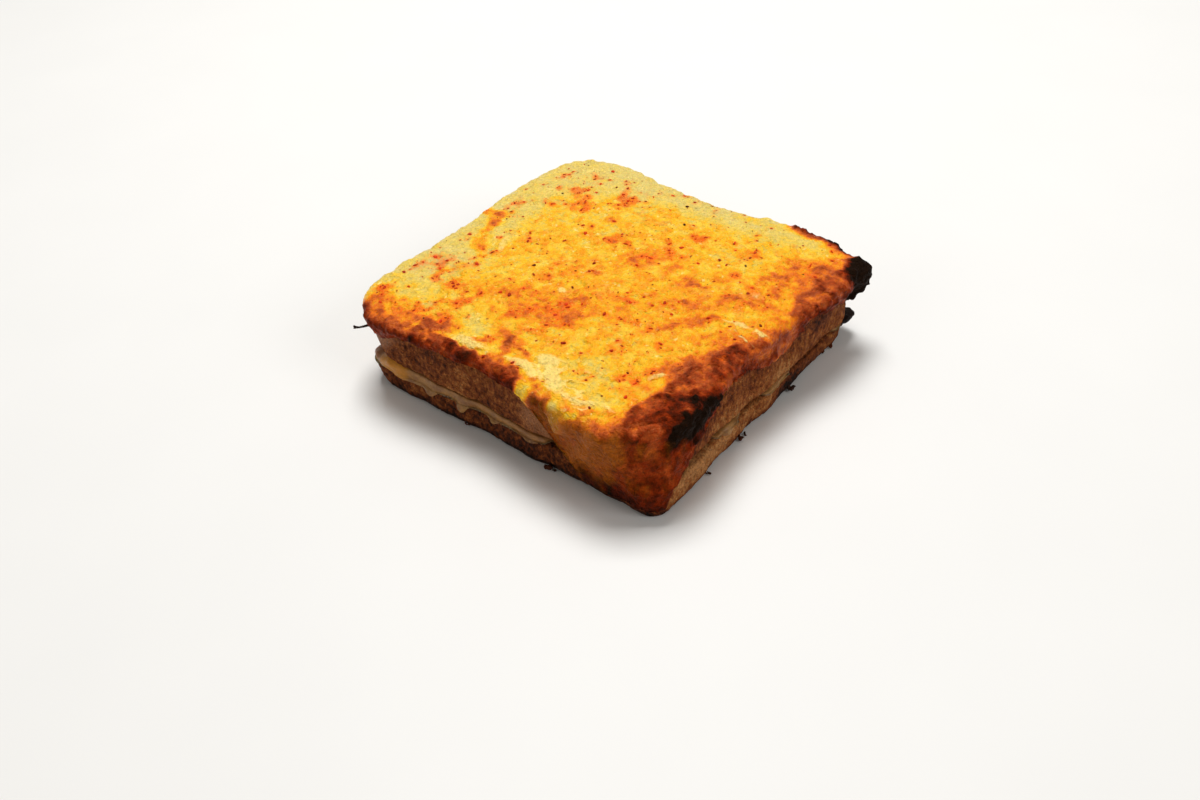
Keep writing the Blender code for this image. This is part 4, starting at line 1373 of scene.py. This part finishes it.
def filling_rings():
    """Rings of the filling, from the middle of its underside, out over the bead and its drips, and back."""
    place = LOWER_TOP[:2]
    swell = filling_swell(*place)
    share = ramp(0.1, 0.5, swell)
    drop = np.maximum(0.0, swell - 0.6)
    nub = CHAR_NUB_REACH * hump(*place, CHAR_NUB_PLACE, CHAR_NUB_WIDTH)
    floor = lower_top(*place) + LAYER_GAP
    roof = upper_foot(*UPPER_FOOT[:2]) - LAYER_GAP
    inner = blend(-FILLING_SET_BACK, LAYER_GAP, share)
    bead = FILLING_BEAD * (0.35 + 0.65 * share) + 0.15 * drop
    outer = inner + bead + nub
    deep = -FILLING_SET_BACK - 1.0
    rings = [shrunk(LOWER_TOP, 0.4, lambda x, y: lower_top(x, y) + LAYER_GAP)]
    rings += [ring(LOWER_TOP, deep, floor), ring(LOWER_TOP, inner, floor)]
    turns = np.linspace(-0.5, 0.5, FILLING_STEPS)
    rings += [bead_ring(turn, floor - drop, roof, inner, outer) for turn in turns]
    rings.append(ring(UPPER_FOOT, deep, roof))
    rings.append(shrunk(UPPER_FOOT, 0.4, lambda x, y: upper_foot(x, y) - LAYER_GAP))
    return rings


def build_filling(settings):
    """Creamy filling with its bead, its drips, the glassy lump at the left corner and the charred nub."""
    shell = Shell(filling_rings())
    shell.close_with_fan(False)
    shell.close_with_fan(True)
    data = shell.mesh("cream_filling")
    points = mesh_points(data)
    glassy = round_spots(drifted(points, size=4.0, amount=1.0, seed=111), GLASSY_SPOTS)
    scorch = round_spots(drifted(points, size=3.0, amount=0.8, seed=115), BURNT_FILLING_SPOTS)
    shown = np.zeros(len(points))
    shown[3 * shell.count : (3 + FILLING_STEPS) * shell.count] = 1.0
    left_end = ramp(-46.0, -54.0, points[:, 0])
    soft = blend(0.30, 0.75, left_end) * layered(points, size=5.0, seed=121)
    soft = soft + 0.14 * noise(points, size=1.8, seed=125)
    lump = 1.8 * glassy * (0.6 + 0.5 * noise(points, size=4.0, seed=126))
    charred = np.clip(scorch, 0.0, 1.0)
    burnt = 1.5 * blisters(points, size=2.6, seed=127) + 0.9 * layered(points, size=2.4, seed=128)
    height = settings.relief * (soft * (1.0 - charred) + lump + charred * burnt)
    set_mesh_points(data, points + mesh_normals(data) * (height * shown)[:, None])
    right_side = ramp(56.0, 60.0, points[:, 0])
    dry = 0.20 - 0.20 * right_side + 0.5 * left_end + 0.3 * noise(points, size=8.0, seed=129)
    set_field(data, "dry", dry)
    set_field(data, "glassy", glassy)
    set_field(data, "scorch", scorch)
    return data


# ----------------------------------------------------------------------------
# Small pieces


def round_body(roundness):
    """Points and triangles of a unit ball of even triangles."""
    shape = bmesh.new()
    bmesh.ops.create_icosphere(shape, subdivisions=roundness, radius=1.0)
    points = np.array([vert.co for vert in shape.verts])
    faces = np.array([[vert.index for vert in face.verts] for face in shape.faces])
    shape.free()
    return points, faces


def joined_bits(name, bits):
    """One mesh of many closed bits, each given as (points, faces, tone)."""
    points, faces, tones, start = [], [], [], 0
    for bit_points, bit_faces, tone in bits:
        points.append(bit_points)
        faces += (bit_faces + start).tolist()
        tones.append(np.full(len(bit_points), tone))
        start += len(bit_points)
    data = bpy.data.meshes.new(name)
    data.from_pydata(np.vstack(points).tolist(), [], faces)
    data.update()
    set_field(data, "tone", np.concatenate(tones))
    return data


def turned_to(normal, turn):
    """Rotation whose third axis points along a normal, turned about it."""
    toward = Vector(normal).to_track_quat("Z", "Y").to_matrix() @ Matrix.Rotation(turn, 3, "Z")
    return np.array(toward)


def surface_grid():
    """Places and outward directions of the cheese's upper surface where flakes show, in the layout frame."""
    data = bpy.data.objects["browned_cheese"].data
    points = mesh_points(data) / MM + SHIFT
    normals = mesh_normals(data)
    bake = np.zeros(len(points))
    data.attributes["bake"].data.foreach_get("value", bake)
    shown = (normals[:, 2] > 0.3) & (points[:, 2] > 20.0) & (bake < DARKEST_FLAKED)
    return points[shown], normals[shown]


def flakes_on_cheese(name, places, thickness, seed):
    """Flat irregular flakes that lie on the cheese, one at each (x, y) and size in millimetres."""
    chance = np.random.default_rng(seed)
    surface, normals = surface_grid()
    body, faces = round_body(2)
    bits = []
    for (x, y), size in places:
        distance = (surface[:, 0] - x) ** 2 + (surface[:, 1] - y) ** 2
        nearest = np.argmin(distance)
        if distance[nearest] > FLAKE_SLIP**2:
            continue
        uneven = 1.0 + FLAKE_UNEVENNESS * noise(body * 2.0, 1.0, int(chance.integers(1, 9999)))
        reach = size * np.array([1.0, chance.uniform(*FLAKE_NARROWNESS), thickness])
        turn = turned_to(normals[nearest], chance.uniform(0.0, FULL_TURN))
        turned = (body * uneven[:, None] * reach) @ turn.T
        place = surface[nearest] + normals[nearest] * FLAKE_LIFT * size * thickness
        bits.append((turned + place, faces, chance.uniform(0.0, 1.0)))
    return joined_bits(name, bits)


def build_paprika():
    """Paprika flakes, clustered and scattered over the cheese."""
    return flakes_on_cheese("paprika_flakes", paprika_places(), PAPRIKA_THICKNESS, PAPRIKA_SHAPE_SEED)


def build_pepper():
    """Dark specks of pepper and herb on the cheese."""
    chance = np.random.default_rng(PEPPER_SEED)
    places = sized(chance, scattered(chance, PEPPER_COUNT), PEPPER_SIZES, PEPPER_LIMITS)
    return flakes_on_cheese("pepper_specks", places, PEPPER_THICKNESS, PEPPER_SHAPE_SEED)


def crumb_bit(chance, body, x, y, size):
    """Points of one burnt lump of a crumb, which rests on the floor or just above it."""
    bit_size = size * chance.uniform(0.45, 1.0)
    uneven = 1.0 + 0.5 * layered(body * 2.0, 1.3, int(chance.integers(1, 9999)), 3)
    reach = bit_size * np.array([1.0, chance.uniform(0.5, 0.9), chance.uniform(0.4, 0.8)])
    turn = turned_to(chance.normal(size=3), chance.uniform(0.0, FULL_TURN))
    turned = (body * uneven[:, None] * reach) @ turn.T
    place = np.array([x, y, 0.0]) + np.append(chance.normal(size=2) * 0.5 * size, 0.0)
    place[2] = -turned[:, 2].min() + chance.uniform(0.0, 1.2) * size * 0.6
    return turned + place


def build_crumbs():
    """Burnt crumbs stuck to the foot of the lower slice, each of a few lumps."""
    chance = np.random.default_rng(CRUMB_SEED)
    body, faces = round_body(3)
    bits = []
    for x, y, size in FOOT_CRUMBS:
        for _ in range(LUMPS_PER_CRUMB):
            points = crumb_bit(chance, body, x, y, size)
            bits.append((points, faces, chance.uniform(0.0, 1.0)))
    return joined_bits("burnt_crumbs", bits)


def strand_path(points):
    """Even steps along a line through points, a little crooked."""
    course = np.array(points)
    spots = np.linspace(0.0, len(course) - 1.0, STRAND_STEPS)
    path = np.stack([np.interp(spots, np.arange(len(course)), course[:, axis]) for axis in range(3)], axis=1)
    return path + 0.12 * np.stack([noise(path, 1.4, 131 + axis) for axis in range(3)], axis=1)


def strand_faces():
    """Triangles round the steps of a strand and over both its ends."""
    faces = []
    for step in range(STRAND_STEPS - 1):
        for side in range(STRAND_SIDES):
            here, after = step * STRAND_SIDES + side, step * STRAND_SIDES + (side + 1) % STRAND_SIDES
            faces.append((here, after, after + STRAND_SIDES))
            faces.append((here, after + STRAND_SIDES, here + STRAND_SIDES))
    for start, flip in ((0, True), ((STRAND_STEPS - 1) * STRAND_SIDES, False)):
        for side in range(1, STRAND_SIDES - 1):
            corner = (start, start + side, start + side + 1)
            faces.append(corner[::-1] if flip else corner)
    return np.array(faces)


def tapered_strand(points, thickness):
    """Points round a line through some places, thinning towards its far end."""
    path = strand_path(points)
    angles = np.arange(STRAND_SIDES) * 2.0 * math.pi / STRAND_SIDES
    made = []
    for step in range(STRAND_STEPS):
        ahead = path[min(step + 1, STRAND_STEPS - 1)] - path[max(step - 1, 0)]
        across = np.cross(ahead, (0.0, 0.0, 1.0))
        across /= np.linalg.norm(across)
        up = np.cross(across, ahead)
        up /= np.linalg.norm(up)
        taper = blend(1.0, STRAND_TAPER, step / (STRAND_STEPS - 1))
        radius = thickness * taper * (1.0 + 0.3 * math.sin(2.3 * step))
        for angle in angles:
            made.append(path[step] + radius * (across * math.cos(angle) + up * math.sin(angle)))
    return np.array(made)


def build_whisker(settings):
    """Thin burnt strand of cheese that stands out from the left corner, with its two short branches."""
    bits = []
    for points, share in zip(WHISKER_STRANDS, WHISKER_SHARES):
        bits.append((tapered_strand(points, settings.whisker_radius / MM * share), strand_faces(), 0.0))
    return joined_bits("burnt_whisker", bits)


# ----------------------------------------------------------------------------
# Settings


def colour_setting(name, description, red, green, blue):
    """Colour property whose default is given as display values of 0 to 255."""
    return bpy.props.FloatVectorProperty(
        name=name,
        description=description,
        subtype="COLOR",
        size=3,
        min=0.0,
        max=1.0,
        default=linear(red, green, blue),
    )


class CroqueForm(bpy.types.PropertyGroup):
    """Sizes of the detail that is built around the frame."""

    relief: bpy.props.FloatProperty(
        name="Relief", description="Height of the lumps, blisters and crumb", default=1.0, min=0.0, max=2.0
    )
    whisker_radius: bpy.props.FloatProperty(
        name="Whisker radius",
        description="Radius of the burnt strand at its root",
        default=0.00042,
        min=0.0,
        unit="LENGTH",
    )


class CheeseLook(bpy.types.PropertyGroup):
    """Colours of the cheese, from its palest to its most burnt."""

    pale: colour_setting("Pale", "Cheese that the heat has barely touched", 226, 202, 116)
    straw: colour_setting("Straw", "Pale cheese that has begun to colour", 234, 199, 82)
    yellow: colour_setting("Yellow", "Melted cheese", 250, 190, 30)
    lemon: colour_setting("Lemon", "Brighter patches in the melted cheese", 255, 220, 78)
    amber: colour_setting("Amber", "Cheese that has begun to brown", 248, 156, 12)
    orange: colour_setting("Orange", "Lightly browned cheese", 232, 112, 20)
    rust: colour_setting("Rust", "Browned cheese", 178, 74, 26)
    brown: colour_setting("Brown", "Well browned cheese", 134, 40, 6)
    dark: colour_setting("Dark", "Nearly burnt cheese", 88, 24, 6)
    char: colour_setting("Char", "Burnt cheese", 24, 11, 7)
    cream: colour_setting("Cream", "Creamy places", 252, 224, 132)
    smudge: colour_setting("Smudge", "Orange smudges in the melted cheese", 244, 128, 12)
    glaze: colour_setting("Glaze", "Golden glaze over the front corner", 158, 86, 14)
    stain: colour_setting("Paprika oil", "Oil reddened by the paprika", 242, 98, 4)
    flake_red: colour_setting("Paprika red", "Brightest paprika flakes", 218, 58, 3)
    flake_dark: colour_setting("Paprika dark", "Darkest paprika flakes", 150, 34, 4)
    pepper: colour_setting("Pepper", "Dark specks", 44, 34, 16)


class BreadLook(bpy.types.PropertyGroup):
    """Colours of the toasted bread."""

    crumb: colour_setting("Crumb", "Palest toasted crumb", 206, 142, 84)
    golden: colour_setting("Golden", "Golden toast", 176, 104, 50)
    toasted: colour_setting("Toasted", "Brown toast", 138, 70, 30)
    dark_toast: colour_setting("Dark toast", "Dark toast", 88, 40, 18)
    burnt: colour_setting("Burnt", "Burnt foot and crumbs", 36, 20, 12)
    film: colour_setting("Film", "Thin cheese film on the bread", 190, 124, 78)


class FillingLook(bpy.types.PropertyGroup):
    """Colours of the filling."""

    # Both creams are darkened to the brown that the filling shows on its shaded sides: painted shade.
    light_cream_painted_shade: colour_setting("Light cream", "Lighter filling", 166, 118, 62)
    dark_cream_painted_shade: colour_setting("Dark cream", "Darker filling", 136, 90, 46)
    dried: colour_setting("Dried", "Filling dried by the heat", 150, 88, 34)
    glassy: colour_setting("Glassy", "Clear melted lump", 188, 122, 26)
    scorched: colour_setting("Scorched", "Burnt filling", 28, 18, 14)


class StageLook(bpy.types.PropertyGroup):
    """Floor and light round the sandwich."""

    floor: colour_setting("Floor", "Colour of the floor", 232, 231, 228)
    key_power: bpy.props.FloatProperty(
        name="Key light", description="Power of the broad light overhead", default=18.6, min=0.0, unit="POWER"
    )
    side_power: bpy.props.FloatProperty(
        name="Side light",
        description="Power of the soft light from the right",
        default=5.8,
        min=0.0,
        unit="POWER",
    )
    fill_power: bpy.props.FloatProperty(
        name="Fill light",
        description="Power of the soft light from the near side",
        default=2.2,
        min=0.0,
        unit="POWER",
    )
    sky: bpy.props.FloatProperty(
        name="Sky", description="Brightness of the light from all round", default=0.22, min=0.0
    )


LOOKS = {"croque_form": CroqueForm, "croque_cheese": CheeseLook, "croque_bread": BreadLook}
LOOKS |= {"croque_filling": FillingLook, "croque_stage": StageLook}


# ----------------------------------------------------------------------------
# Operators


class PieceOperator:
    """What every operator here shares."""

    bl_options = {"REGISTER", "UNDO"}


class CROQUE_OT_lower_slice(PieceOperator, bpy.types.Operator):
    """Build the lower slice of bread"""

    bl_idname = "croque.lower_slice"
    bl_label = "Lower slice"

    def execute(self, context):
        look = context.scene.croque_bread
        data = build_lower_slice(context.scene.croque_form)
        piece = add_piece("lower_slice", data, bread_finish("lower_toast", look))
        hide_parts("bread_lower")
        return {"FINISHED"}


class CROQUE_OT_upper_slice(PieceOperator, bpy.types.Operator):
    """Build the upper slice of bread"""

    bl_idname = "croque.upper_slice"
    bl_label = "Upper slice"

    def execute(self, context):
        look = context.scene.croque_bread
        data = build_upper_slice(context.scene.croque_form)
        piece = add_piece("upper_slice", data, bread_finish("upper_toast", look))
        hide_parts("bread_upper")
        return {"FINISHED"}


class CROQUE_OT_filling(PieceOperator, bpy.types.Operator):
    """Build the creamy filling between the slices"""

    bl_idname = "croque.filling"
    bl_label = "Filling"

    def execute(self, context):
        data = build_filling(context.scene.croque_form)
        piece = add_piece("cream_filling", data, filling_finish(context.scene.croque_filling))
        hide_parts("filling")
        return {"FINISHED"}


class CROQUE_OT_cheese(PieceOperator, bpy.types.Operator):
    """Build the browned cheese on top"""

    bl_idname = "croque.cheese"
    bl_label = "Browned cheese"

    def execute(self, context):
        data = build_cheese(context.scene.croque_form)
        piece = add_piece("browned_cheese", data, cheese_finish(context.scene.croque_cheese))
        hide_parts("cheese_top")
        return {"FINISHED"}


class CROQUE_OT_seasoning(PieceOperator, bpy.types.Operator):
    """Scatter the paprika flakes and the pepper specks over the cheese, which is built before them"""

    bl_idname = "croque.seasoning"
    bl_label = "Paprika and pepper"

    def execute(self, context):
        look = context.scene.croque_cheese
        paprika = speck_finish("paprika", look.flake_dark, look.flake_red, 0.5)
        pepper = speck_finish("pepper", look.pepper, look.flake_dark, 0.6)
        add_piece("paprika_flakes", build_paprika(), paprika)
        add_piece("pepper_specks", build_pepper(), pepper)
        return {"FINISHED"}


class CROQUE_OT_burnt_bits(PieceOperator, bpy.types.Operator):
    """Add the burnt crumbs at the foot and the burnt whisker at the left corner"""

    bl_idname = "croque.burnt_bits"
    bl_label = "Burnt bits"

    def execute(self, context):
        look = context.scene.croque_bread
        burnt = speck_finish("burnt_bits", look.burnt, look.dark_toast, 0.7)
        add_piece("burnt_crumbs", build_crumbs(), burnt)
        add_piece("burnt_whisker", build_whisker(context.scene.croque_form), burnt)
        return {"FINISHED"}


def add_light(name, place, size, power):
    """Square soft light that faces the sandwich."""
    data = bpy.data.lights.new(name, "AREA")
    data.size = size
    data.energy = power
    light = bpy.data.objects.new(name, data)
    light.location = place
    light.rotation_euler = (-Vector(place)).to_track_quat("-Z", "Y").to_euler()
    bpy.context.scene.collection.objects.link(light)


def add_camera():
    """Camera above the front corner, a little rolled."""
    data = bpy.data.cameras.new("camera")
    data.lens = CAMERA_LENS
    data.sensor_width = CAMERA_SENSOR
    camera = bpy.data.objects.new("camera", data)
    turn = Matrix((CAMERA_RIGHT, CAMERA_UP, CAMERA_BACK)).transposed()
    place = Vector(metres(CAMERA_PLACE))
    camera.matrix_world = Matrix.Translation(place) @ turn.to_4x4()
    bpy.context.scene.collection.objects.link(camera)
    bpy.context.scene.camera = camera


def add_floor(colour):
    """Plain pale floor."""
    finish = Finish("pale_floor")
    colour = finish.shaded(tuple(colour), finish.grain(size=60.0, detail=2.0), 0.985, 1.0)
    finish.set(Base_Color=colour, Roughness=0.6)
    data = bpy.data.meshes.new("floor")
    square = ((-1, -1), (1, -1), (1, 1), (-1, 1))
    corners = [(x * FLOOR_REACH, y * FLOOR_REACH, -FLOOR_DROP) for x, y in square]
    data.from_pydata(corners, [], [(0, 1, 2, 3)])
    data.materials.append(finish.material)
    floor = bpy.data.objects.new("floor", data)
    bpy.context.scene.collection.objects.link(floor)


class CROQUE_OT_stage(PieceOperator, bpy.types.Operator):
    """Set up the floor, the lights and the camera"""

    bl_idname = "croque.stage"
    bl_label = "Stage"

    def execute(self, context):
        look = context.scene.croque_stage
        add_floor(look.floor)
        add_light("key_light", KEY_PLACE, KEY_SIZE, look.key_power)
        add_light("side_light", SIDE_PLACE, SIDE_SIZE, look.side_power)
        add_light("fill_light", FILL_PLACE, FILL_SIZE, look.fill_power)
        world = bpy.data.worlds.new("soft_sky")
        world.use_nodes = True
        background = world.node_tree.nodes["Background"]
        background.inputs["Color"].default_value = SKY_COLOUR
        background.inputs["Strength"].default_value = look.sky
        context.scene.world = world
        context.scene.view_settings.view_transform = "Standard"
        add_camera()
        return {"FINISHED"}


class CROQUE_PT_panel(bpy.types.Panel):
    """Sidebar panel with the settings and the steps in the order they are run"""

    bl_idname = "CROQUE_PT_panel"
    bl_label = "Croque monsieur"
    bl_space_type = "VIEW_3D"
    bl_region_type = "UI"
    bl_category = "Croque"

    def draw(self, context):
        for name, group in LOOKS.items():
            column = self.layout.column(align=True)
            for setting in group.__annotations__:
                column.prop(getattr(context.scene, name), setting)
        for operator in OPERATORS:
            self.layout.operator(operator.bl_idname)


OPERATORS = (
    CROQUE_OT_lower_slice,
    CROQUE_OT_filling,
    CROQUE_OT_upper_slice,
    CROQUE_OT_cheese,
    CROQUE_OT_seasoning,
    CROQUE_OT_burnt_bits,
    CROQUE_OT_stage,
)


def register():
    for part in (*LOOKS.values(), *OPERATORS, CROQUE_PT_panel):
        bpy.utils.register_class(part)
    for name, group in LOOKS.items():
        setattr(bpy.types.Scene, name, bpy.props.PointerProperty(type=group))


def unregister():
    for name in LOOKS:
        delattr(bpy.types.Scene, name)
    for part in reversed((*LOOKS.values(), *OPERATORS, CROQUE_PT_panel)):
        bpy.utils.unregister_class(part)


def main():
    """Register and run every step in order."""
    register()
    bpy.ops.croque.lower_slice()
    bpy.ops.croque.filling()
    bpy.ops.croque.upper_slice()
    bpy.ops.croque.cheese()
    bpy.ops.croque.seasoning()
    bpy.ops.croque.burnt_bits()
    bpy.ops.croque.stage()


if __name__ == "__main__":
    main()
